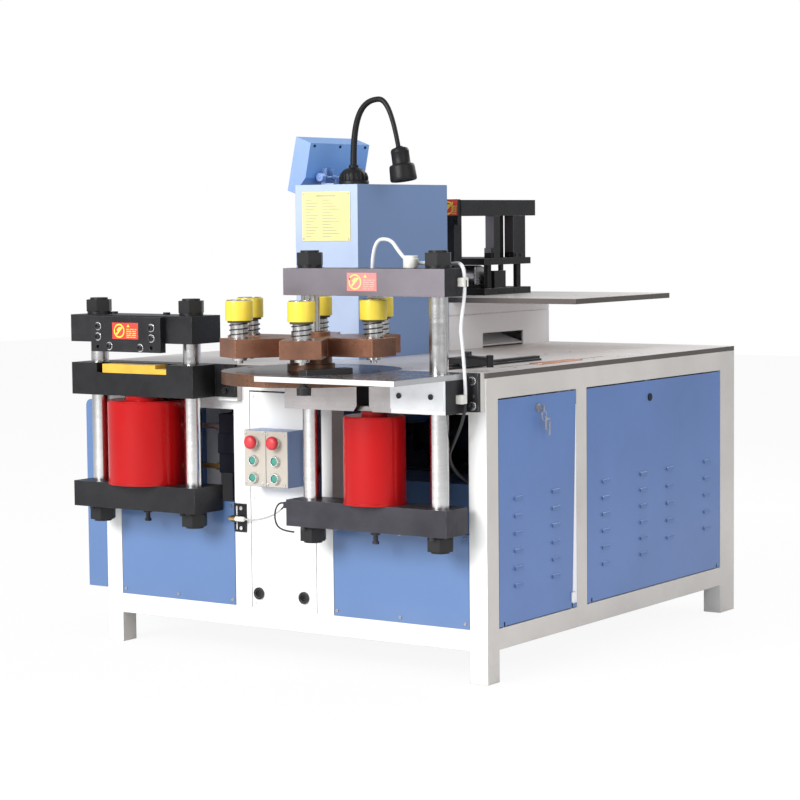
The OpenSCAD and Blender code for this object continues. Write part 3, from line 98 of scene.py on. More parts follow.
def newGroup(name, inputs, outputs):
    tree = bpy.data.node_groups.new(name, "ShaderNodeTree")
    for label, kind, value in inputs:
        s = tree.interface.new_socket(label, in_out="INPUT", socket_type=kind)
        s.default_value = value
    for label, kind in outputs:
        tree.interface.new_socket(label, in_out="OUTPUT", socket_type=kind)
    return tree, tree.nodes.new("NodeGroupInput"), tree.nodes.new("NodeGroupOutput")


def add(tree, kind, links=(), **values):
    # a node with its plain values and its incoming links
    node = tree.nodes.new(kind)
    for key, value in values.items():
        if hasattr(node, key):
            setattr(node, key, value)
        else:
            node.inputs[key.replace("_", " ")].default_value = value
    for source, target in links:
        tree.links.new(source, node.inputs[target])
    return node


def math2(tree, operation, a, b=0.5, clamp=False):
    node = tree.nodes.new("ShaderNodeMath")
    node.operation = operation
    node.use_clamp = clamp
    for i, v in enumerate((a, b)):
        if isinstance(v, (int, float)):
            node.inputs[i].default_value = v
        else:
            tree.links.new(v, node.inputs[i])
    return node.outputs[0]


def ramp(tree, value, low, high, a=0.0, b=1.0):
    node = add(tree, "ShaderNodeMapRange", [(value, "Value")], From_Min=low, From_Max=high, To_Min=a, To_Max=b)
    return node.outputs["Result"]


def blendColour(tree, factor, a, b):
    node = tree.nodes.new("ShaderNodeMix")
    node.data_type = "RGBA"
    for value, index in ((factor, 0), (a, 6), (b, 7)):
        if isinstance(value, (int, float)):
            node.inputs[index].default_value = value
        elif isinstance(value, (tuple, list)):
            node.inputs[index].default_value = (*value[:3], 1)
        else:
            tree.links.new(value, node.inputs[index])
    return node.outputs[2]


def makeEdgeWear():
    # soft corners, and a mask of the places where they are
    tree, inn, out = newGroup("edgeWear", [("Radius", "NodeSocketFloat", 0.0015),
                                            ("Breakup", "NodeSocketFloat", 60.0)],
                              [("Mask", "NodeSocketFloat"), ("Normal", "NodeSocketVector")])
    bevel = add(tree, "ShaderNodeBevel", [(inn.outputs["Radius"], "Radius")], samples=4)
    geometry = tree.nodes.new("ShaderNodeNewGeometry")
    dot = add(tree, "ShaderNodeVectorMath", [(bevel.outputs[0], 0), (geometry.outputs["Normal"], 1)],
              operation="DOT_PRODUCT")
    coordinates = tree.nodes.new("ShaderNodeTexCoord")
    noise = add(tree, "ShaderNodeTexNoise", [(coordinates.outputs["Object"], "Vector"),
                                             (inn.outputs["Breakup"], "Scale")], Detail=4.0)
    edge = ramp(tree, dot.outputs["Value"], 0.995, 0.86)
    broken = ramp(tree, noise.outputs[0], 0.38, 0.62)
    tree.links.new(math2(tree, "MULTIPLY", edge, broken, True), out.inputs["Mask"])
    tree.links.new(bevel.outputs[0], out.inputs["Normal"])
    return tree


def makeMottle():
    # slow cloudy change over a surface, with finer specks in it
    tree, inn, out = newGroup("mottle", [("Size", "NodeSocketFloat", 4.0), ("Fine", "NodeSocketFloat", 90.0)],
                              [("Cloud", "NodeSocketFloat"), ("Speck", "NodeSocketFloat")])
    coordinates = tree.nodes.new("ShaderNodeTexCoord")
    for source, target, detail in (("Size", "Cloud", 5.0), ("Fine", "Speck", 3.0)):
        noise = add(tree, "ShaderNodeTexNoise", [(coordinates.outputs["Object"], "Vector"),
                                                 (inn.outputs[source], "Scale")], Detail=detail, Roughness=0.6)
        tree.links.new(ramp(tree, noise.outputs[0], 0.3, 0.7), out.inputs[target])
    return tree


def makeGrain():
    # fine parallel marks of grinding or turning, stretched along one axis
    tree, inn, out = newGroup("grain", [("Stretch", "NodeSocketVector", (8.0, 300.0, 300.0))],
                              [("Lines", "NodeSocketFloat"), ("Bands", "NodeSocketFloat")])
    coordinates = tree.nodes.new("ShaderNodeTexCoord")
    scaled = add(tree, "ShaderNodeVectorMath", [(coordinates.outputs["Object"], 0), (inn.outputs["Stretch"], 1)],
                 operation="MULTIPLY")
    fine = add(tree, "ShaderNodeTexNoise", [(scaled.outputs[0], "Vector")], Scale=1.0, Detail=3.0)
    wide = add(tree, "ShaderNodeTexNoise", [(scaled.outputs[0], "Vector")], Scale=0.12, Detail=2.0)
    tree.links.new(ramp(tree, fine.outputs[0], 0.3, 0.7), out.inputs["Lines"])
    tree.links.new(ramp(tree, wide.outputs[0], 0.3, 0.7), out.inputs["Bands"])
    return tree


def makeZone():
    # 1 inside a box of object coordinates, else 0
    tree, inn, out = newGroup("zone", [("Low", "NodeSocketVector", (0, 0, 0)), ("High", "NodeSocketVector", (1, 1, 1))],
                              [("Mask", "NodeSocketFloat")])
    coordinates = tree.nodes.new("ShaderNodeTexCoord")
    middle = add(tree, "ShaderNodeVectorMath", [(inn.outputs["Low"], 0), (inn.outputs["High"], 1)],
                 operation="ADD")
    half = add(tree, "ShaderNodeVectorMath", [(middle.outputs[0], 0)], operation="MULTIPLY")
    half.inputs[1].default_value = (0.5, 0.5, 0.5)
    offset = add(tree, "ShaderNodeVectorMath", [(coordinates.outputs["Object"], 0), (half.outputs[0], 1)],
                 operation="SUBTRACT")
    size = add(tree, "ShaderNodeVectorMath", [(inn.outputs["High"], 0), (half.outputs[0], 1)],
               operation="SUBTRACT")
    away = add(tree, "ShaderNodeVectorMath", [(offset.outputs[0], 0)], operation="ABSOLUTE")
    room = add(tree, "ShaderNodeVectorMath", [(size.outputs[0], 0), (away.outputs[0], 1)], operation="SUBTRACT")
    parts = add(tree, "ShaderNodeSeparateXYZ", [(room.outputs[0], 0)])
    least = math2(tree, "MINIMUM", math2(tree, "MINIMUM", parts.outputs[0], parts.outputs[1]), parts.outputs[2])
    tree.links.new(math2(tree, "GREATER_THAN", least, 0.0), out.inputs["Mask"])
    return tree


def makeFacing():
    # 1 where a face looks along a direction, before anything moves
    tree, inn, out = newGroup("facing", [("Direction", "NodeSocketVector", (0, -1, 0))],
                              [("Mask", "NodeSocketFloat")])
    geometry = tree.nodes.new("ShaderNodeNewGeometry")
    turn = add(tree, "ShaderNodeVectorTransform", [(geometry.outputs["True Normal"], 0)],
               vector_type="NORMAL", convert_from="WORLD", convert_to="OBJECT")
    dot = add(tree, "ShaderNodeVectorMath", [(turn.outputs[0], 0), (inn.outputs["Direction"], 1)],
              operation="DOT_PRODUCT")
    tree.links.new(math2(tree, "GREATER_THAN", dot.outputs["Value"], 0.7), out.inputs["Mask"])
    return tree


groups = {"edgeWear": makeEdgeWear(), "mottle": makeMottle(), "grain": makeGrain(),
          "zone": makeZone(), "facing": makeFacing()}


def use(tree, name, **values):
    node = tree.nodes.new("ShaderNodeGroup")
    node.node_tree = groups[name]
    for key, value in values.items():
        node.inputs[key].default_value = value
    return node


# Finishes
finishes = {}
bumpDepth = 0.0004


def finish(name, base, tint=0.06, wornTo=(0.5, 0.5, 0.5), worn=0.0, rough=0.4, roughSpread=0.1, metal=0.0,
           coat=0.0, size=4.0, fine=90.0, bump=0.15, radius=0.0015, grain=None, zones=(), dirt=0.0,
           coatRough=0.08, spec=0.5):
    # zones: (node maker, colour, metal, rough) painted over the base where their mask is 1
    material = bpy.data.materials.new(name)
    material.use_nodes = True
    tree = material.node_tree
    shader = tree.nodes["Principled BSDF"]
    edge = use(tree, "edgeWear", Radius=radius)
    cloud = use(tree, "mottle", Size=size, Fine=fine)
    dark = tuple(c * (1 - tint * 2) for c in base)
    light = tuple(min(1, c * (1 + tint)) for c in base)
    colour = blendColour(tree, cloud.outputs["Cloud"], dark, light)
    roughness = ramp(tree, cloud.outputs["Speck"], 0, 1, rough - roughSpread / 2, rough + roughSpread / 2)
    height = cloud.outputs["Speck"]
    metallic = None
    if grain:
        lines = use(tree, "grain", Stretch=grain)
        colour = blendColour(tree, ramp(tree, lines.outputs["Lines"], 0, 1, 0, 0.35), colour,
                             tuple(c * 0.72 for c in base))
        roughness = math2(tree, "ADD", roughness, ramp(tree, lines.outputs["Bands"], 0, 1, -0.06, 0.08))
        height = lines.outputs["Lines"]
    if dirt:
        coordinates = tree.nodes.new("ShaderNodeTexCoord")
        parts = add(tree, "ShaderNodeSeparateXYZ", [(coordinates.outputs["Object"], 0)])
        low = ramp(tree, parts.outputs[2], 0.22, 0.0)
        amount = math2(tree, "MULTIPLY", math2(tree, "MULTIPLY", low, cloud.outputs["Cloud"]), dirt, True)
        colour = blendColour(tree, amount, colour, (0.30, 0.27, 0.23))
    for mask, zoneColour, zoneMetal, zoneRough in zones:
        m = mask(tree)
        shade = blendColour(tree, cloud.outputs["Cloud"], tuple(c * 0.88 for c in zoneColour),
                            tuple(min(1, c * 1.06) for c in zoneColour))
        colour = blendColour(tree, m, colour, shade)
        roughness = blendValue(tree, m, roughness, zoneRough)
        metallic = blendValue(tree, m, metal if metallic is None else metallic, zoneMetal)
    if worn:
        colour = blendColour(tree, math2(tree, "MULTIPLY", edge.outputs["Mask"], worn, True), colour, wornTo)
    tree.links.new(colour, shader.inputs["Base Color"])
    tree.links.new(roughness, shader.inputs["Roughness"])
    if metallic is None:
        shader.inputs["Metallic"].default_value = metal
    else:
        tree.links.new(metallic, shader.inputs["Metallic"])
    shader.inputs["Coat Weight"].default_value = coat
    shader.inputs["Specular IOR Level"].default_value = spec
    shader.inputs["Coat Roughness"].default_value = coatRough
    relief = add(tree, "ShaderNodeBump", [(height, "Height"), (edge.outputs["Normal"], "Normal")],
                 Strength=bump, Distance=bumpDepth)
    tree.links.new(relief.outputs[0], shader.inputs["Normal"])
    finishes[name] = material


def blendValue(tree, factor, a, b):
    node = tree.nodes.new("ShaderNodeMix")
    for i, v in enumerate((factor, a, b)):
        slotIndex = (0, 2, 3)[i]
        if isinstance(v, (int, float)):
            node.inputs[slotIndex].default_value = v
        else:
            tree.links.new(v, node.inputs[slotIndex])
    return node.outputs[0]


def zone(low, high):
    # low and high are layout corners in millimetres
    return lambda tree: use(tree, "zone", Low=place(*low), High=place(*high)).outputs["Mask"]


def facing(direction, low=None, high=None):
    def mask(tree):
        m = use(tree, "facing", Direction=direction).outputs["Mask"]
        if low:
            m = math2(tree, "MULTIPLY", m, zone(low, high)(tree))
        return m
    return mask


white, blue, black = (0.79, 0.79, 0.78), (0.100, 0.185, 0.380), (0.024, 0.024, 0.026)
silverFront, socketBlack, pinSteel = (0.25, 0.225, 0.25), (0.02, 0.02, 0.021), (0.6, 0.6, 0.6)
brightWear = (0.7, 0.7, 0.7)
nutPaint = ((0.022, 0.022, 0.023), 0.5, 0.4)
nutZones = [(zone(low, high), *nutPaint) for low, high in (
    ((-1500, -300, 380), (-900, 50, 438.2)), ((-1500, -300, 1024.8), (-900, 50, 1082)),
    ((-600, -300, 370), (50, 50, 428.2)), ((-600, -300, 1168.8), (50, 50, 1228)))]
# settings that several finishes share
frameWhite = {"rough": 0.38, "coat": 0.15, "wornTo": (0.35, 0.34, 0.33), "worn": 0.35, "size": 3, "fine": 140,
              "bump": 0.10, "radius": 0.003}
paleBlue = {"tint": 0.03, "rough": 0.34, "coat": 0.2, "wornTo": (0.35, 0.45, 0.66), "worn": 0.3, "fine": 170,
            "bump": 0.12}
brownWear = {"tint": 0.2, "roughSpread": 0.2, "worn": 0.8, "size": 8, "fine": 120, "bump": 0.12}
darkSteel = {"tint": 0.2, "rough": 0.40, "roughSpread": 0.2, "metal": 0.55, "worn": 0.8}
button = {"tint": 0.04, "size": 20, "fine": 200, "bump": 0.05}
# white frame paint; its right-facing faces get a darker beige, which is painted shade on that side
finish("whitePaint", white, tint=0.02, dirt=0.5, **frameWhite, zones=[
    (facing(toRight), (0.60, 0.565, 0.53), 0.0, 0.4)])
finish("coverPaint", white, tint=0.02, dirt=0.4, **frameWhite, zones=[
    (zone((-826, -8, 176), (-786, -0.3, 214)), socketBlack, 0.4, 0.35),
    (zone((-660, -8, 176), (-618, -0.3, 214)), socketBlack, 0.4, 0.35)])
# a brighter copy of the frame's white, without its shaded side: painted light on the pedestal, which stands in shade
# under the bending table; the bent edge of the front side panel uses it too
finish("litWhitePaint", (0.90, 0.88, 0.89), tint=0.03, **frameWhite)
# blue panel paint; the brighter blue on its right-facing faces is painted light on that side
finish("bluePaint", blue, tint=0.04, rough=0.36, coat=0.2, wornTo=(0.30, 0.40, 0.62), worn=0.3, size=2.5,
       fine=170, bump=0.12, dirt=0.25, zones=[
    (facing(toRight), (0.094, 0.186, 0.44), 0.0, 0.36)])
# screen housing paint; the paler, greyer blue on its front faces is painted light on that side
finish("housingBlue", (0.175, 0.385, 0.79), size=3, **paleBlue, zones=[
    (facing(toFront), (0.25, 0.37, 0.66), 0.0, 0.34)])
# cabinet paint; the pale blue on its front faces is painted light and reflection from the light falling on that face
finish("cabinetBlue", (0.160, 0.255, 0.47), size=2.5, radius=0.003, **paleBlue, zones=[
    (facing(toFront), (0.425, 0.515, 0.70), 0.0, 0.34)])
finish("blackOxide", black, tint=0.25, rough=0.42, roughSpread=0.22, metal=0.55,
       wornTo=(0.20, 0.20, 0.21), worn=0.8, size=9, fine=120, bump=0.18, grain=(4, 60, 60))
finish("chromeBar", (0.66, 0.65, 0.64), tint=0.03, rough=0.17, roughSpread=0.08, metal=1.0,
       size=6, fine=40, bump=0.04, grain=(60, 60, 500), zones=nutZones)
finish("redPaint", (0.42, 0.004, 0.005), tint=0.04, rough=0.20, roughSpread=0.02, coat=0.1,
       spec=0.16, wornTo=(0.7, 0.12, 0.1), worn=0.3, size=4, fine=70, bump=0.01, coatRough=0.05)
finish("brownSteel", (0.25, 0.115, 0.07), rough=0.36, metal=0.55, wornTo=(0.65, 0.28, 0.12), radius=0.004,
       **brownWear)
finish("discBrown", (0.16, 0.078, 0.045), rough=0.34, metal=0.6, wornTo=(0.50, 0.26, 0.14),
       radius=0.003, **{**brownWear, "worn": 0.7}, zones=[
    (facing(toTop), (0.115, 0.095, 0.085), 0.85, 0.24)])
finish("lowerYoke", (0.05, 0.047, 0.058), wornTo=(0.25, 0.25, 0.26), size=9, fine=120, bump=0.16,
       grain=(4, 60, 60), **darkSteel)
finish("punchYoke", black, wornTo=(0.22, 0.22, 0.23), size=8, fine=100, bump=0.14,
       grain=(5, 100, 100), **darkSteel, zones=[
    (facing(toFront, (-600, -145, 1080), (-40, -130, 1170)), silverFront, 0.85, 0.34),
    (zone((-235, -120, 1170), (-150, -50, 1210)), (0.66, 0.66, 0.66), 0.6, 0.3),
    (zone((-340, -95, 1170), (-212, -78, 1260)), (0.66, 0.66, 0.66), 0.0, 0.5)])
finish("bendPress", (0.018, 0.018, 0.019), tint=0.2, rough=0.45, roughSpread=0.2, metal=0.5,
       wornTo=(0.2, 0.2, 0.2), worn=0.7, size=8, fine=100, bump=0.14, zones=[
    (facing(toFront, (-742, 1150, 1190), (-700, 1300, 1312)), silverFront, 0.85, 0.36),
    (zone((-805, 1107, 1073), (-750, 1162, 1091)), pinSteel, 0.9, 0.25),
    (zone((-805, 1107, 1134), (-750, 1162, 1149)), pinSteel, 0.9, 0.25)])
finish("tableSteel", (0.78, 0.73, 0.70), tint=0.08, rough=0.36, roughSpread=0.1, metal=0.3,
       wornTo=brightWear, worn=0.5, size=3, fine=60, bump=0.10, grain=(3, 160, 160), zones=[
    (facing(toRight), (0.11, 0.095, 0.085), 0.3, 0.55),
    (facing(toFront), (0.12, 0.10, 0.09), 0.3, 0.55),
    (zone((-106, 230, 868), (-94, 832, 875)), (0.05, 0.045, 0.04), 0.2, 0.6)])
finish("punchTable", (0.34, 0.345, 0.37), tint=0.07, rough=0.26, roughSpread=0.12, metal=0.85,
       wornTo=brightWear, worn=0.5, size=5, fine=60, bump=0.10, grain=(3, 160, 160), zones=[
    (facing(toFront), (0.72, 0.71, 0.70), 0.3, 0.3), (facing(toRight), (0.5, 0.5, 0.5), 0.5, 0.35),
    (zone((-560, -400, 877.2), (0, 0, 900)), (0.05, 0.048, 0.05), 0.6, 0.35),
    (zone((-560, -400, 780), (0, 0, 861.8)), (0.022, 0.022, 0.023), 0.5, 0.4)])
# the punch bed; its right-facing faces are painted near black as shade
finish("punchBed", (0.52, 0.485, 0.48), tint=0.1, rough=0.34, roughSpread=0.15, metal=0.85,
       wornTo=brightWear, worn=0.5, size=7, fine=70, bump=0.1, grain=(5, 120, 120), zones=[
    (facing(toRight), (0.03, 0.03, 0.032), 0.5, 0.4),
    (zone((-46, -50, 765), (0, -10, 885)), (0.03, 0.03, 0.032), 0.5, 0.4),
    (zone((-225, -160, 765), (-40, -139.8, 863)), (0.93, 0.94, 0.96), 0.0, 0.34),
    (zone((-225, -160, 765), (-40, -150.2, 865)), (0.02, 0.02, 0.02), 0.5, 0.4)])
finish("bareSteel", (0.5, 0.49, 0.5), tint=0.08, rough=0.3, roughSpread=0.15, metal=0.9,
       wornTo=(0.8, 0.8, 0.8), worn=0.5, size=8, fine=80, bump=0.1, grain=(6, 140, 140))
finish("yellowEnamel", (0.68, 0.40, 0.035), tint=0.1, rough=0.4, coat=0.2,
       wornTo=(0.5, 0.45, 0.3), worn=0.5, size=12, fine=120, bump=0.1)
finish("stopRed", (0.58, 0.035, 0.045), rough=0.42, **button)
finish("keyGreen", (0.055, 0.27, 0.20), rough=0.3, **button)
finish("blackPlastic", (0.008, 0.008, 0.009), tint=0.15, rough=0.45, spec=0.25, size=10,
       fine=220, bump=0.2, wornTo=(0.05, 0.05, 0.05), worn=0.5)
finish("hoseRubber", (0.016, 0.016, 0.017), tint=0.15, rough=0.5, size=12, fine=200, bump=0.2,
       zones=[(zone((-870, -140, 300), (-500, 20, 470)), (0.50, 0.49, 0.47), 0.0, 0.5)])
finish("leadGrey", (0.62, 0.62, 0.62), tint=0.04, rough=0.5, size=12, fine=200, bump=0.1)
# the pump unit in the left bay is painted near-black navy, which is the bay's shade; its brass and steel fittings keep
# their own colours
finish("pumpInShade", (0.010, 0.013, 0.026), tint=0.1, rough=0.5, spec=0.3, size=6, fine=120, bump=0.15, zones=[
    (zone((-1098, 86, 540), (-1008, 114, 572)), (0.62, 0.44, 0.18), 0.9, 0.3),
    (zone((-1098, 86, 663), (-1008, 114, 695)), (0.58, 0.55, 0.50), 0.9, 0.3)])
finish("springSteel", (0.05, 0.05, 0.05), tint=0.2, rough=0.3, metal=0.8, size=20, fine=200, bump=0.05)
finish("buttonBox", (0.13, 0.22, 0.44), tint=0.03, rough=0.36, coat=0.2, size=6, fine=170,
       bump=0.1, worn=0.3, wornTo=(0.3, 0.38, 0.55), zones=[
    (zone((-800, -90, 520), (-600, -72.1, 700)), (0.46, 0.42, 0.36), 0.0, 0.42),
    (zone((-800, -90, 520), (-600, -74.1, 700)), (0.72, 0.72, 0.72), 1.0, 0.22)])

# the six CAD punches stay hidden behind the pieces that stand for them
nodeFinish = {
    "whitePaint": ["frame"], "coverPaint": ["centre_cover"], "litWhitePaint": ["bend_pedestal"],
    "bluePaint": ["fixed_panels", "side_box", "side_panel_front", "side_panel_rear", "oil_tank"],
    "cabinetBlue": ["control_cabinet"], "housingBlue": ["hmi_housing"], "buttonBox": ["button_box"],
    "tableSteel": ["table_plates", "bend_table"], "punchTable": ["punch_table"],
    "blackOxide": ["shear_lower_yoke", "shear_upper_yoke", "shear_bed", "shear_blade_holder",
                   "gauge_rail", "gauge_block", "sensor_bracket"],
    "bendPress": ["bend_frame", "bend_top"],
    "punchYoke": ["punch_upper_yoke"], "punchBed": ["punch_bed"],
    "chromeBar": ["shear_tie_rods", "punch_tie_rods"],
    "redPaint": ["shear_cylinder", "punch_cylinder", "rams"],
    "brownSteel": ["turret_plate"], "discBrown": ["die_disc"], "lowerYoke": ["punch_lower_yoke"],
    "bareSteel": ["lock_front", "bend_die"] + ["punch_%d" % i for i in range(1, 7)],
    "yellowEnamel": ["feed_block"], "stopRed": ["estop_left", "estop_right"],
    "keyGreen": ["button_1", "button_2", "button_3", "button_4"],
    "blackPlastic": ["signal_lamp", "gauge_lever", "lock_rear"], "hoseRubber": ["leads"],
    "leadGrey": ["press_lead"],
    "pumpInShade": ["pump_unit"], "springSteel": ["spring_%d" % i for i in range(1, 7)],
}
for name, members in nodeFinish.items():
    for member in members:
        mesh = nodes[member].data
        mesh.materials.clear()
        mesh.materials.append(finishes[name])
print("finishes on", sum(len(v) for v in nodeFinish.values()), "machined nodes")


# Pieces made here ride on the CAD's bodies, and some stand for its nodes
def plain(name, bm, material, body, stands=(), angle=35):
    # one closed mesh at the origin, riding on a body
    bmesh.ops.remove_doubles(bm, verts=bm.verts, dist=1e-6)
    bmesh.ops.recalc_face_normals(bm, faces=bm.faces)
    mesh = bpy.data.meshes.new(name)
    bm.to_mesh(mesh)
    bm.free()
    mesh.materials.append(material)
    piece = bpy.data.objects.new(name, mesh)
    scene.collection.objects.link(piece)
    for polygon in mesh.polygons:
        polygon.use_smooth = True
    mesh.set_sharp_from_angle(angle=math.radians(angle))
    if body:
        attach(piece, body)
    if stands:
        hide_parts(*stands)
    return piece


def softBlock(bm, low, high, edge=1.0, steps=2):
    # a block between two layout corners with rounded edges
    a, b = place(*low), place(*high)
    made = bmesh.ops.create_cube(bm, size=1.0)
    centre, span = (a + b) / 2, b - a
    for v in made["verts"]:
        v.co = Vector((v.co.x * span.x, v.co.y * span.y, v.co.z * span.z)) + centre
    edges = list({e for v in made["verts"] for e in v.link_edges})
    if edge:
        bmesh.ops.bevel(bm, geom=edges, offset=min(edge / 1000, min(span) * 0.45), segments=steps,
                        affect="EDGES", profile=0.5)


def turned(bm, profile, origin, axis, sides=32, loop=False):
    # profile: (radius, distance along the axis) in millimetres, with closed ends or, as a loop, a ring
    axis = Vector(axis).normalized()
    across = axis.orthogonal().normalized()
    other = axis.cross(across)
    start = place(*origin)
    angles = [2 * math.pi * i / sides for i in range(sides)]
    rows = []
    for radius, along in profile:
        centre = start + axis * along / 1000
        if radius <= 0:
            rows.append([bm.verts.new(centre)])
        else:
            rows.append([bm.verts.new(centre + (across * math.cos(a) + other * math.sin(a)) * radius / 1000)
                         for a in angles])
    pairs = list(zip(rows, rows[1:])) + ([(rows[-1], rows[0])] if loop else [])
    for low, high in pairs:
        for i in range(sides):
            k = (i + 1) % sides
            corners = [low[i % len(low)], low[k % len(low)], high[k % len(high)], high[i % len(high)]]
            corners = [v for n, v in enumerate(corners) if v not in corners[:n]]
            if len(corners) > 2:
                bm.faces.new(corners)
    if not loop:
        for row in (rows[0], rows[-1]):
            if len(row) > 2:
                bm.faces.new(row)


def bezier(a, b, c, d, steps):
    a, b, c, d = (Vector(v) for v in (a, b, c, d))
    out = []
    for i in range(steps + 1):
        t = i / steps
        out.append(a * (1 - t) ** 3 + b * 3 * t * (1 - t) ** 2 + c * 3 * t * t * (1 - t) + d * t ** 3)
    return out


def tube(bm, route, radius, sides=14, ripple=0.0):
    # a round tube along layout points; radius may be a function of the share of the way
    points = [place(*p) for p in route]
    rows, previous = [], None
    for i, p in enumerate(points):
        ahead = (points[min(i + 1, len(points) - 1)] - points[max(i - 1, 0)]).normalized()
        side = ahead.orthogonal() if previous is None else previous - ahead * previous.dot(ahead)
        side = previous = side.normalized()
        other = ahead.cross(side)
        r = (radius(i / (len(points) - 1)) if callable(radius) else radius) / 1000
        r *= 1 + (ripple if i % 2 else 0)
        rows.append([bm.verts.new(p + (side * math.cos(q) + other * math.sin(q)) * r)
                     for q in (2 * math.pi * k / sides for k in range(sides))])
    for low, high in zip(rows, rows[1:]):
        for i in range(sides):
            k = (i + 1) % sides
            bm.faces.new((low[i], low[k], high[k], high[i]))
    bm.faces.new(rows[0])
    bm.faces.new(rows[-1])


def flat(bm, outline, thickness, origin, across, up):
    # a thin sheet with a drawn outline; across and up are directions, its front faces their cross product
    across, up = Vector(across), Vector(up)
    out = across.cross(up).normalized() * thickness / 1000
    base = place(*origin)
    back = [bm.verts.new(base + across * u / 1000 + up * v / 1000) for u, v in outline]
    front = [bm.verts.new(v.co + out) for v in back]
    bm.faces.new(front)
    bm.faces.new(back[::-1])
    for i in range(len(back)):
        k = (i + 1) % len(back)
        bm.faces.new((back[i], back[k], front[k], front[i]))


def lathe(name, profile, origin, axis, material, body, sides=32, loop=False, stands=()):
    bm = bmesh.new()
    turned(bm, profile, origin, axis, sides, loop)
    return plain(name, bm, material, body, stands)


def curve(start, *bends):
    # a smooth route; each bend is its two handles, its end and its steps
    route = [Vector(start)]
    for first, second, end, steps in bends:
        route += bezier(route[-1], first, second, end, steps)[1:]
    return route


def pipe(name, route, radius, material, body, stands=(), sides=14, ripple=0.0, angle=35):
    bm = bmesh.new()
    tube(bm, route, radius, sides, ripple)
    return plain(name, bm, material, body, stands, angle)


def nodeBox(name):
    # a node's corners in layout millimetres
    low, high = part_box(name)
    return ([(low.x - cornerX) * 1000, (low.y - cornerY) * 1000, low.z * 1000],
            [(high.x - cornerX) * 1000, (high.y - cornerY) * 1000, high.z * 1000])


# Screws come from one Geometry Nodes tree: a socket head on each point, turned its way
def makeScrewTree():
    tree = bpy.data.node_groups.new("screwHeads", "GeometryNodeTree")
    ids = {}
    for label, kind, io in (("Geometry", "NodeSocketGeometry", "INPUT"), ("Radius", "NodeSocketFloat", "INPUT"),
                            ("Height", "NodeSocketFloat", "INPUT"), ("Recess", "NodeSocketFloat", "INPUT"),
                            ("Material", "NodeSocketMaterial", "INPUT"), ("Geometry", "NodeSocketGeometry", "OUTPUT")):
        ids[io + label] = tree.interface.new_socket(label, in_out=io, socket_type=kind).identifier
    inn, out = tree.nodes.new("NodeGroupInput"), tree.nodes.new("NodeGroupOutput")
    head = tree.nodes.new("GeometryNodeMeshCylinder")
    head.inputs["Vertices"].default_value = 24
    lift = tree.nodes.new("GeometryNodeTransform")
    tree.links.new(inn.outputs["Radius"], head.inputs["Radius"])
    tree.links.new(inn.outputs["Height"], head.inputs["Depth"])
    half = math2(tree, "MULTIPLY", inn.outputs["Height"], 0.5)
    rise = add(tree, "ShaderNodeCombineXYZ", [(half, "Z")])
    tree.links.new(head.outputs["Mesh"], lift.inputs["Geometry"])
    tree.links.new(rise.outputs[0], lift.inputs["Translation"])
    socket = tree.nodes.new("GeometryNodeMeshCylinder")
    socket.inputs["Vertices"].default_value = 6
    tree.links.new(math2(tree, "MULTIPLY", inn.outputs["Radius"], inn.outputs["Recess"]), socket.inputs["Radius"])
    tree.links.new(inn.outputs["Height"], socket.inputs["Depth"])
    drop = tree.nodes.new("GeometryNodeTransform")
    tree.links.new(socket.outputs["Mesh"], drop.inputs["Geometry"])
    up = add(tree, "ShaderNodeCombineXYZ", [(inn.outputs["Height"], "Z")])
    tree.links.new(up.outputs[0], drop.inputs["Translation"])
    cut = tree.nodes.new("GeometryNodeMeshBoolean")
    cut.operation = "DIFFERENCE"
    tree.links.new(lift.outputs[0], cut.inputs["Mesh 1"])
    tree.links.new(drop.outputs[0], cut.inputs["Mesh 2"])
    aim = add(tree, "GeometryNodeInputNamedAttribute", data_type="FLOAT_VECTOR")
    aim.inputs["Name"].default_value = "aim"
    turn = tree.nodes.new("FunctionNodeAlignRotationToVector")
    tree.links.new(aim.outputs["Attribute"], turn.inputs["Vector"])
    spread = tree.nodes.new("GeometryNodeInstanceOnPoints")
    tree.links.new(inn.outputs["Geometry"], spread.inputs["Points"])
    tree.links.new(cut.outputs[0], spread.inputs["Instance"])
    tree.links.new(turn.outputs[0], spread.inputs["Rotation"])
    real = tree.nodes.new("GeometryNodeRealizeInstances")
    tree.links.new(spread.outputs[0], real.inputs[0])
    paint = tree.nodes.new("GeometryNodeSetMaterial")
    tree.links.new(real.outputs[0], paint.inputs["Geometry"])
    tree.links.new(inn.outputs["Material"], paint.inputs["Material"])
    tree.links.new(paint.outputs[0], out.inputs[0])
    return tree, ids


screwTree, screwIds = makeScrewTree()


def screws(name, spots, aim, radius, height, body, material, recess=0.5):
    # spots are layout points; aim is the way the heads face
    mesh = bpy.data.meshes.new(name + "Points")
    mesh.from_pydata([place(*p) for p in spots], [], [])
    layer = mesh.attributes.new("aim", "FLOAT_VECTOR", "POINT")
    layer.data.foreach_set("vector", [c for _ in spots for c in aim])
    points = bpy.data.objects.new(name + "Points", mesh)
    scene.collection.objects.link(points)
    modifier = points.modifiers.new("heads", "NODES")
    modifier.node_group = screwTree
    for label, value in (("Radius", radius / 1000), ("Height", height / 1000), ("Recess", recess),
                         ("Material", material)):
        modifier[screwIds["INPUT" + label]] = value
    bpy.context.view_layer.update()
    result = bpy.data.meshes.new_from_object(points.evaluated_get(bpy.context.evaluated_depsgraph_get()))
    result.name = name
    bpy.data.objects.remove(points)
    piece = bpy.data.objects.new(name, result)
    scene.collection.objects.link(piece)
    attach(piece, body)
    return piece


def small(name, base, **more):
    # a finish for the pieces made here, with marks at their own scale
    settings = {"size": 30, "fine": 200, "bump": 0.05, "tint": 0.05, "radius": 0.0006}
    settings.update(more)
    finish(name, base, **settings)


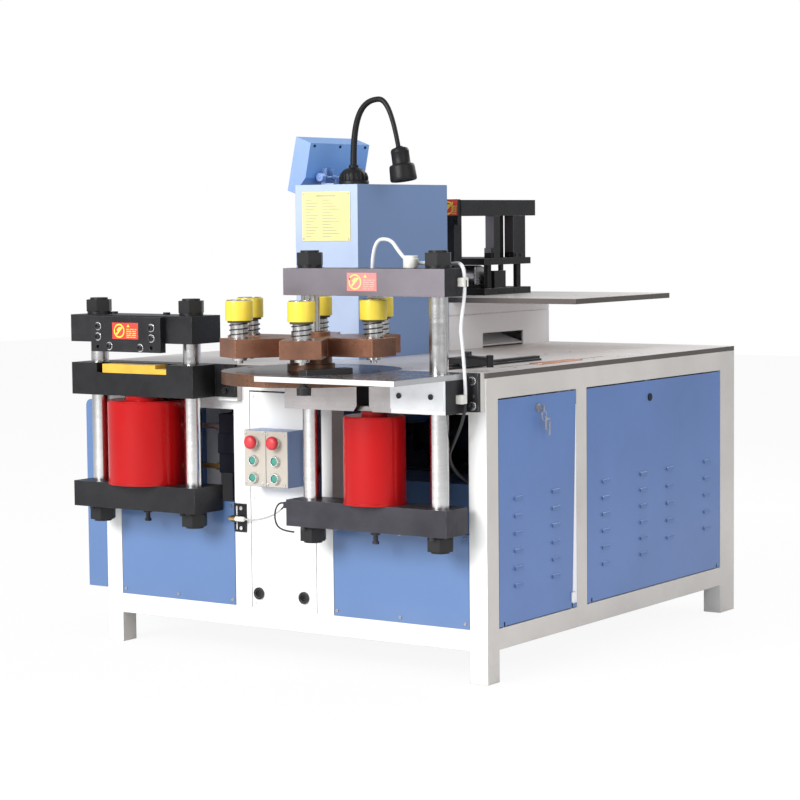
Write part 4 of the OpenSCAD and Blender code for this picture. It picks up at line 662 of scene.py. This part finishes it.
small("steelScrew", (0.45, 0.45, 0.46), rough=0.3, metal=0.9)
small("blackScrew", (0.02, 0.02, 0.021), rough=0.35, metal=0.5, wornTo=(0.2, 0.2, 0.2), worn=0.6)
small("whiteScrew", (0.70, 0.70, 0.69), rough=0.4, worn=0.5)
small("brightRing", (0.70, 0.70, 0.70), rough=0.25, metal=0.85)
small("brass", (0.62, 0.42, 0.16), rough=0.3, metal=0.9, wornTo=(0.8, 0.6, 0.3), worn=0.4)
small("copper", (0.72, 0.33, 0.19), rough=0.3, metal=0.8)
small("creamPlastic", (0.74, 0.73, 0.68), rough=0.5)
small("whiteLead", (0.66, 0.67, 0.68), rough=0.5)
small("signRed", (0.68, 0.045, 0.030), rough=0.45)
small("signFaded", (0.80, 0.23, 0.21), rough=0.5)
small("signLime", (0.66, 0.62, 0.20), rough=0.5)
small("signYellow", (0.80, 0.66, 0.06), rough=0.45)
small("signPale", (0.72, 0.42, 0.34), rough=0.5)
small("plateCream", (0.84, 0.74, 0.30), rough=0.4)
small("plateInk", (0.50, 0.46, 0.30), rough=0.5)
small("darkScreen", (0.02, 0.025, 0.03), rough=0.12, coat=0.5)
small("lampGlass", (0.82, 0.80, 0.70), rough=0.35)
small("urethane", (0.76, 0.58, 0.045), rough=0.34, coat=0.15, size=16, bump=0.08)
small("sleeveRim", (0.075, 0.07, 0.045), rough=0.4, metal=0.3)
small("toolSteel", (0.58, 0.57, 0.56), rough=0.24, metal=1.0, wornTo=(0.8, 0.8, 0.8), worn=0.3,
      grain=(40, 40, 500))
print("piece tools ready")

# Heads of the screws that hold the panels
panelHead = {"radius": 5, "height": 2.2}
panelScrews = {
    "frontPanelScrews": ([(x, 0, z) for x in (-1330, -1119, -908) for z in (168, 452)]
                         + [(x, 0, z) for x in (-520, -297, -75) for z in (168, 408)], toFront, "steelScrew"),
    "coverScrews": ([(x, 0, z) for x in (-822, -604) for z in (166, 480, 784)], toFront, "whiteScrew"),
    "rearPanelScrews": ([(x, 1526, z) for x in (-1330, -1040, -748, -658, -360, -76) for z in (168, 786)],
                        (0, 1, 0), "steelScrew"),
    "leftPanelScrews": ([(-1405, y, z) for y in (76, 280, 480, 572, 1000, 1412) for z in (168, 786)],
                        (-1, 0, 0), "steelScrew"),
}
for name, (spots, aim, material) in panelScrews.items():
    screws(name, spots, aim, panelHead["radius"], panelHead["height"], "machine", finishes[material])

# Push-buttons: mushroom heads, domed green buttons and their bezels
stop = {"finish": "stopRed",
        "head": [(8, 0), (8, 24), (10, 26), (18.6, 26.4), (20, 28), (20, 33.5), (19.3, 36.5), (17, 39.6), (13, 42),
                 (7, 43.6), (0, 44)],
        "bezel": [(11.4, 0), (17.6, 0), (17.6, 7), (16.4, 9), (16, 14), (15, 16), (12.4, 16), (11.4, 15)]}
key = {"finish": "keyGreen",
       "head": [(6, 0), (6, 12), (11, 12), (11, 27.8), (10.3, 29.3), (9, 30), (7.5, 29.6), (0, 29.2)],
       "bezel": [(11.4, 0), (16.2, 0), (16.2, 7), (15.6, 9.6), (14.6, 11), (12.4, 11), (11.4, 10)]}
buttons = {"lip": 5, "sides": 36}
boxFace = nodeBox("button_box")[0][1] + buttons["lip"]
for label, node, body, shape in (
        [("stopLeft", "estop_left", "stop_left", stop), ("stopRight", "estop_right", "stop_right", stop)]
        + [("key%d" % i, "button_%d" % i, "key_%d" % i, key) for i in range(1, 5)]):
    low, high = nodeBox(node)
    x, z = (low[0] + high[0]) / 2, (low[2] + high[2]) / 2
    lathe(label, shape["head"], (x, high[1], z), toFront, finishes[shape["finish"]], body, buttons["sides"],
          stands=[node])
    lathe(label + "Bezel", shape["bezel"], (x, boxFace, z), toFront, finishes["brightRing"], "machine",
          buttons["sides"], loop=True)
print("buttons ready")

# Punches: urethane sleeve between dark rims, head, shank and nose; heights count from the sleeve's foot
turret = {"x": -540, "y": -86, "ring": 220, "foot": 65, "rimFoot": 2.6, "sides": 48}
toolShape = {
    "urethane": ([(37.6, 6), (38.7, 7), (39, 9), (39, 58), (38.6, 60.6), (37.4, 62.2), (35, 62.4), (27, 62.4),
                  (27, 6)], True),
    "sleeveRim": ([(20, 0), (32.4, 0), (33, 1), (33, 6), (32.4, 6.6), (20, 6.6)], True),
    "toolSteel": ([(10, -115), (10, -107), (21, -107), (21.6, -98), (25, -97.6), (25, -1), (26, 0), (26, 58),
                   (25.2, 63)], False),
}
toolTop = [(26.4, 0), (35, 0), (35, 1.8), (34.2, 2.4), (26.4, 2.4)]
for i in range(1, 7):
    label, body, node = "tool%d" % i, "tool_%d" % i, "punch_%d" % i
    top = nodeBox(node)[1][2]
    angle = math.radians(60 * (i - 1))
    x, y = turret["x"] + turret["ring"] * math.cos(angle), turret["y"] + turret["ring"] * math.sin(angle)
    for material, (shape, loop) in toolShape.items():
        lathe(label + material, shape, (x, y, top - turret["foot"]), toTop, finishes[material], body,
              turret["sides"], loop, [node])
    lathe(label + "Top", toolTop, (x, y, top - turret["rimFoot"]), toTop, finishes["toolSteel"], body,
          turret["sides"], loop=True)

# Coiled springs around the punches, riding on the turret
spring = {"wire": 3.4, "turns": 3, "steps": 24, "travel": 32, "sides": 8}
for i in range(1, 7):
    low, high = nodeBox("spring_%d" % i)
    middle = ((low[0] + high[0]) / 2, (low[1] + high[1]) / 2)
    bend = (high[0] - low[0]) / 2 - spring["wire"] / 2
    bottom, top = low[2] + spring["wire"] / 2, high[2] - spring["wire"] / 2
    count = spring["turns"] * spring["steps"]
    route = [(middle[0] + bend * math.cos(2 * math.pi * k / spring["steps"]),
              middle[1] + bend * math.sin(2 * math.pi * k / spring["steps"]), bottom + (top - bottom) * k / count)
             for k in range(count + 1)]
    piece = pipe("coil%d" % i, route, spring["wire"] / 2, finishes["springSteel"], "turret", ["spring_%d" % i],
                 spring["sides"], angle=60)
    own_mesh(piece)
print("punches ready")

# Work lamp: ribbed foot, corrugated neck, flared head with its glass
lamp = {"foot": (-751, 430, 1413), "head": (-580, 430, 1523), "aim": (0.1564, 0, -0.9877), "sides": 56,
        "ribs": 20, "ribReach": 38, "ribWidth": 3.2, "neck": 10.0, "neckTaper": 3.1, "ripple": 0.05}
lampShape = {
    "foot": [(47, 0), (47, 9), (46, 11), (44, 11.6), (41.4, 12), (41.2, 24), (40.4, 30), (38, 37), (33, 43),
             (27, 47.6), (19, 50), (15, 52), (15, 59), (13.5, 60.5), (11, 61), (0, 61)],
    "rib": [(0, 12), (7, 12), (7, 22), (3, 34), (-4, 40), (-8, 40)],
    "head": [(0, -3), (10, -3), (12, 0), (19, 1.6), (24.5, 4), (27, 8), (27.6, 12), (28.2, 13), (28.2, 16),
             (27.6, 17), (28, 49), (29, 51.6), (35, 53), (38, 56), (39.2, 62), (40.4, 84), (41, 92), (41, 98),
             (40, 101.4), (37, 103), (33.6, 103), (32, 101), (32, 87), (0, 86)],
    "glass": [(31.8, 87.4), (31.8, 92), (27, 95.5), (16, 98), (0, 98.8)],
}
x, y, z = lamp["foot"]
bm = bmesh.new()
turned(bm, lampShape["foot"], lamp["foot"], toTop, lamp["sides"])
for i in range(lamp["ribs"]):
    angle = 2 * math.pi * i / lamp["ribs"]
    side = Vector((-math.sin(angle), math.cos(angle), 0))
    out = Vector((math.cos(angle), math.sin(angle), 0))
    base = Vector(lamp["foot"]) + out * lamp["ribReach"] - side * lamp["ribWidth"] / 2
    flat(bm, lampShape["rib"], lamp["ribWidth"], tuple(base), tuple(out), toTop)
plain("lampFoot", bm, finishes["blackPlastic"], "machine", ["signal_lamp"])
bend = (x + 96, y, z + 258)
route = curve((x, y, z + 55), ((x, y, z + 177), (x + 16, y, bend[2]), bend, 110),
              ((x + 126, y, bend[2]), (x + 149, y, z + 208), (x + 169, y, z + 106), 90))
pipe("lampNeck", route, lambda t: lamp["neck"] - lamp["neckTaper"] * t, finishes["blackPlastic"], "machine",
     sides=16, ripple=lamp["ripple"], angle=70)
lathe("lampHead", lampShape["head"], lamp["head"], lamp["aim"], finishes["blackPlastic"], "machine", lamp["sides"])
lathe("lampGlass", lampShape["glass"], lamp["head"], lamp["aim"], finishes["lampGlass"], "machine", 40)
print("lamp ready")

# White leads on the moving yoke, the lead that hangs from it, the sensor's cap and the clips
leads = {"capX": -191, "punchY": -86, "yokeTop": 1169, "radius": 5.3, "hangingRadius": 5}
capX, punchY, yokeTop = leads["capX"], leads["punchY"], leads["yokeTop"]
loopTop = (capX - 93, punchY, yokeTop + 81)
a, b = (capX - 131, punchY, yokeTop - 2), (capX - 16, punchY, yokeTop + 24)
route = curve(a, ((a[0] + 2, a[1], a[2] + 52), (loopTop[0] - 26, loopTop[1], loopTop[2]), loopTop, 16),
              ((loopTop[0] + 42, loopTop[1], loopTop[2]), (b[0] - 42, b[1], b[2] + 34), b, 20))
pipe("loopLead", route, leads["radius"], finishes["whiteLead"], "punch_press")
p, q, e = (capX + 12, punchY + 6, yokeTop + 15), (-92, punchY + 50, yokeTop + 11), (-29, -62, 1131)
route = curve(p, ((p[0] + 22, p[1] + 26, p[2]), (q[0] - 28, q[1], q[2] - 2), q, 12),
              ((q[0] + 28, q[1], q[2] + 2), (e[0], e[1], e[2] + 62), e, 20))
pipe("clipLead", route, leads["radius"], finishes["whiteLead"], "punch_press")
leadTop, leadMiddle, leadLow = (-29, -62, 1119), (-36, -70, 984), (-29, -62, 820)
route = curve(leadTop, ((-29, -62, 1071), (-37, -76, 1024), leadMiddle, 16),
              ((-35, -64, 944), (-29, -62, 868), leadLow, 16))
hanging = pipe("pressLead", route, leads["hangingRadius"], finishes["whiteLead"], None, ["press_lead"])
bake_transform(hanging)
sensorCap = [(0, -0.6), (18, -0.6), (20.6, 1), (21.5, 3), (21.5, 25), (20.4, 26.4), (19.4, 27), (19.4, 33),
             (18, 34.6), (0, 34.6)]
lathe("sensorCap", sensorCap, (capX, punchY, yokeTop + 0.7), toTop, finishes["creamPlastic"], "punch_press", 40)
for name, body, a, b in (("upperClip", "punch_press", (-44.4, -75.4, 1118.6), (-23.6, -49.6, 1143.4)),
                         ("lowerClip", "machine", (-44.4, -88.4, 795.6), (-22.4, -62.4, 820.4))):
    bm = bmesh.new()
    softBlock(bm, a, b, 2, 3)
    plain(name, bm, finishes["creamPlastic"], body)
print("leads ready")


# Signs: fields of colour with simple shapes and no lettering
def bar(x, y, w, h):
    return [(x, y), (x + w, y), (x + w, y + h), (x, y + h)]


def onFront(bm, outline, thickness, origin):
    flat(bm, outline, thickness, origin, toRight, toTop)


sign = {"sheet": 0.5, "mark": 0.3, "hand": 0.25, "steps": 28, "gap": 0.03,
        "rows": ((0.10, 0.16, 0.08), (0.2, 0.14), (0.06, 0.12, 0.14), (0.18, 0.16), (0.12, 0.08, 0.1))}


def warning(name, body, origin, size, base, mark, lines):
    # a sheet with a ring, a slanted bar and a hand's patch at its left, a triangle over rows of bars at its right
    w, h = size
    bm = bmesh.new()
    onFront(bm, bar(0, 0, w, h), sign["sheet"], origin)
    plain(name, bm, finishes[base], body)
    raised = (origin[0], origin[1] - sign["sheet"], origin[2])
    cx, cy, r = w * 0.27, h * 0.50, h * 0.43
    bm = bmesh.new()
    steps = sign["steps"]
    outer, inner = ([(cx + radius * math.cos(2 * math.pi * i / steps), cy + radius * math.sin(2 * math.pi * i / steps))
                     for i in range(steps)] for radius in (r, r * 0.8))
    for i in range(steps):
        k = (i + 1) % steps
        onFront(bm, [inner[i], outer[i], outer[k], inner[k]], sign["mark"], raised)
    slant = [(-0.62, -0.42), (-0.42, -0.62), (0.62, 0.42), (0.42, 0.62)]
    hand = [(-0.5, 0.1), (-0.1, -0.1), (0.3, 0.55), (-0.1, 0.5)]
    for outline, thickness in ((slant, sign["mark"]), (hand, sign["hand"])):
        onFront(bm, [(cx + r * u, cy + r * v) for u, v in outline], thickness, raised)
    onFront(bm, [(w * 0.56, h * 0.74), (w * 0.68, h * 0.74), (w * 0.62, h * 0.92)], sign["mark"], raised)
    plain(name + "Mark", bm, finishes[mark], body)
    bm = bmesh.new()
    for row, lengths in enumerate(sign["rows"]):
        start = w * 0.55
        for length in lengths:
            onFront(bm, bar(start, h * (0.58 - 0.12 * row), w * length, h * 0.05), sign["mark"], raised)
            start += w * (length + sign["gap"])
    plain(name + "Rows", bm, finishes[lines], body)


holderFront, yokeFront = -164, -140
warning("shearSign", "shear_press", (-1224, holderFront + 0.1, 955), (101, 49), "signRed", "signYellow", "signYellow")
warning("punchSign", "punch_press", (-371, yokeFront, 1106), (101, 51), "signFaded", "signLime", "signPale")
warning("bendSign", "machine", (-760, 950, 1315), (51, 50), "signRed", "signYellow", "signYellow")
screws("bendPlateBolts", [(-746, 950, 1298), (-722, 950, 1298)], toFront, 7, 4, "machine", finishes["blackScrew"])

# Instruction plate on the cabinet: a yellow sheet with a heading and a table of short bars
plate = {"spot": (-887, 345, 1241), "size": (182, 150), "sheet": 0.8, "mark": 0.25, "rows": 13, "edge": 6,
         "screw": (2.4, 1.2)}
w, h = plate["size"]
spot = plate["spot"]
raised = (spot[0], spot[1] - plate["sheet"], spot[2])
bm = bmesh.new()
onFront(bm, bar(0, 0, w, h), plate["sheet"], spot)
plain("plateSheet", bm, finishes["plateCream"], "machine")
bm = bmesh.new()
onFront(bm, bar(w * 0.3, h * 0.9, w * 0.4, h * 0.045), plate["mark"], raised)
for row in range(plate["rows"]):
    for start, length in ((0.07, 0.12 + 0.05 * ((row * 7) % 4)), (0.42, 0.18 + 0.06 * ((row * 5) % 4))):
        onFront(bm, bar(w * start, h * (0.82 - 0.062 * row), w * length, h * 0.022), plate["mark"], raised)
plain("plateRows", bm, finishes["plateInk"], "machine")
corners = [(u, v) for u in (plate["edge"], w - plate["edge"]) for v in (plate["edge"], h - plate["edge"])]
screws("plateScrews", [(spot[0] + u, raised[1], spot[2] + v) for u, v in corners], toFront, *plate["screw"],
       "machine", finishes["steelScrew"])
print("signs ready")

# Bright washers under the screws of the shear's blade holder and of the punch bed's ears
washer = {"inner": 9.2, "sides": 32}


def washers(name, outer, spots, body):
    bm = bmesh.new()
    for spot in spots:
        turned(bm, [(washer["inner"], -0.2), (outer, -0.2), (outer, 1.2), (11.8, 1.9), (washer["inner"], 1.9)],
               spot, toFront, washer["sides"], loop=True)
    plain(name, bm, finishes["brightRing"], body)


low, high = nodeBox("shear_blade_holder")
holderSpots = ((28, 76), (27, 45), (72, 17), (237, 74), (237, 43), (193, 14))
washers("holderWashers", 12.6, [(low[0] + u, holderFront, low[2] + v) for u, v in holderSpots], "shear_press")
washers("earWashers", 12.4, [(-25, -34, z) for z in (787, 857)], "machine")
print("washers ready")

# Small fittings: sockets on the cover, end sensor, screen, lock plug, bent edge of the front side panel
sockets = {"spots": [(-806, 3, 195), (-639, 3, 195)], "head": (10.6, 5)}
screws("socketInserts", sockets["spots"], toFront, *sockets["head"], "machine", finishes["blackScrew"])
bracket = {"spots": [(-865, -8, 388), (-865, -8, 448)], "head": (5.6, 2.5)}
screws("bracketScrews", bracket["spots"], toFront, *bracket["head"], "machine", finishes["brightRing"])
sensor = {"thread": (-903, -20, 417), "head": (-876, -20, 417), "sides": 24,
          "threadShape": [(0, 0), (4, 0), (4, 3), (6.4, 3.4), (6.4, 26), (0, 26)],
          "headShape": [(0, 0), (7.6, 0), (7.8, 1), (7.8, 27), (6, 31), (3.4, 33), (0, 33)]}
lathe("sensorThread", sensor["threadShape"], sensor["thread"], toRight, finishes["brass"], "machine", sensor["sides"])
lathe("sensorHead", sensor["headShape"], sensor["head"], toRight, finishes["creamPlastic"], "machine",
      sensor["sides"])
# the housing leans back, so its screws and its glass follow its faces
housing = {"screws": (-882.8, 1534.2), "aim": (0.9795, 0, -0.2014), "head": (4.6, 2.4), "edge": 22,
           "glassSize": (251, 118), "glass": 0.6, "glassCorner": (-972.3, 32, 1418), "slope": (0.2113, 0, 0.9774)}
low, high = nodeBox("hmi_housing")
rows = (low[1] + housing["edge"], (low[1] + high[1]) / 2, high[1] - housing["edge"])
screws("housingScrews", [(housing["screws"][0], y, housing["screws"][1]) for y in rows], housing["aim"],
       *housing["head"], "screen", finishes["blackScrew"])
x, inset, z = housing["glassCorner"]
bm = bmesh.new()
flat(bm, bar(0, 0, *housing["glassSize"]), housing["glass"], (x, high[1] - inset, z), toFront, housing["slope"])
plain("screenGlass", bm, finishes["darkScreen"], "screen")
panelBend = {"outline": [(0, 0), (25, 0), (25, 590), (22, 590)], "sheet": 0.5, "rise": 12, "lock": (34, 10, 16, 46)}
low, high = nodeBox("side_panel_front")
farSide, nearSide, lockLow, lockHigh = panelBend["lock"]
bm = bmesh.new()
flat(bm, panelBend["outline"], panelBend["sheet"], (0, high[1] - 25, low[2] + panelBend["rise"]), (0, 1, 0), toTop)
softBlock(bm, (0, high[1] - farSide, low[2] + lockLow), (5, high[1] - nearSide, low[2] + lockHigh), 1.5, 2)
plain("panelEdge", bm, finishes["litWhitePaint"], "front_door")
strip = {"low": (-104, 400, 877.1), "high": (-60, 640, 880)}
bm = bmesh.new()
softBlock(bm, strip["low"], strip["high"], 1, 2)
plain("copperStrip", bm, finishes["copper"], "machine")
print("fittings ready")


# Floor, backdrop and lamps
studio = {"world": 0.54, "worldTint": (0.95, 0.97, 1, 1), "floorSize": 14, "floorWhite": 0.92,
          "floorTint": (0.9, 0.9, 0.9, 1), "aim": (0, -0.2, 0.7),
          "lamps": {"key": ((-1.4, -9.4, 4.8), 1060, 4.5), "fill": ((4.6, -1.8, 2.6), 60, 3.0),
                    "rim": ((0.5, 4.0, 3.6), 80, 2.5)}}


def makeStudio(s):
    size = s["floorSize"]
    mesh = bpy.data.meshes.new("floor")
    mesh.from_pydata([(-size, -size, 0), (size, -size, 0), (size, size, 0), (-size, size, 0)], [], [(0, 1, 2, 3)])
    floor = bpy.data.objects.new("floor", mesh)
    scene.collection.objects.link(floor)
    material = bpy.data.materials.new("floorWhite")
    material.use_nodes = True
    tree = material.node_tree
    shader = tree.nodes["Principled BSDF"]
    shader.inputs["Base Color"].default_value = s["floorTint"]
    shader.inputs["Roughness"].default_value = 0.9
    glow = add(tree, "ShaderNodeEmission", Strength=1.0)
    seen = add(tree, "ShaderNodeLightPath").outputs["Is Camera Ray"]
    mix = add(tree, "ShaderNodeMixShader", [(math2(tree, "MULTIPLY", seen, s["floorWhite"]), 0),
                                            (shader.outputs[0], 1), (glow.outputs[0], 2)])
    tree.links.new(mix.outputs[0], tree.nodes["Material Output"].inputs["Surface"])
    mesh.materials.append(material)
    world = bpy.data.worlds.new("studio")
    scene.world = world
    world.use_nodes = True
    tree = world.node_tree
    tree.nodes.clear()
    path = tree.nodes.new("ShaderNodeLightPath")
    seen = math2(tree, "MAXIMUM", path.outputs["Is Camera Ray"], path.outputs["Is Transmission Ray"])
    soft = add(tree, "ShaderNodeBackground", Strength=s["world"])
    white = add(tree, "ShaderNodeBackground", Strength=1.0)
    soft.inputs[0].default_value = s["worldTint"]
    white.inputs[0].default_value = (1, 1, 1, 1)
    mix = add(tree, "ShaderNodeMixShader", [(seen, 0), (soft.outputs[0], 1), (white.outputs[0], 2)])
    out = tree.nodes.new("ShaderNodeOutputWorld")
    tree.links.new(mix.outputs[0], out.inputs[0])
    for name, (spot, power, width) in s["lamps"].items():
        data = bpy.data.lights.new(name, "AREA")
        data.energy = power
        data.shape = "SQUARE"
        data.size = width
        lamp = bpy.data.objects.new(name, data)
        aim = Vector(s["aim"]) - Vector(spot)
        lamp.rotation_euler = aim.to_track_quat("-Z", "Y").to_euler()
        lamp.location = spot
        scene.collection.objects.link(lamp)


makeStudio(studio)
scene.view_settings.view_transform = "Standard"
print("studio ready")
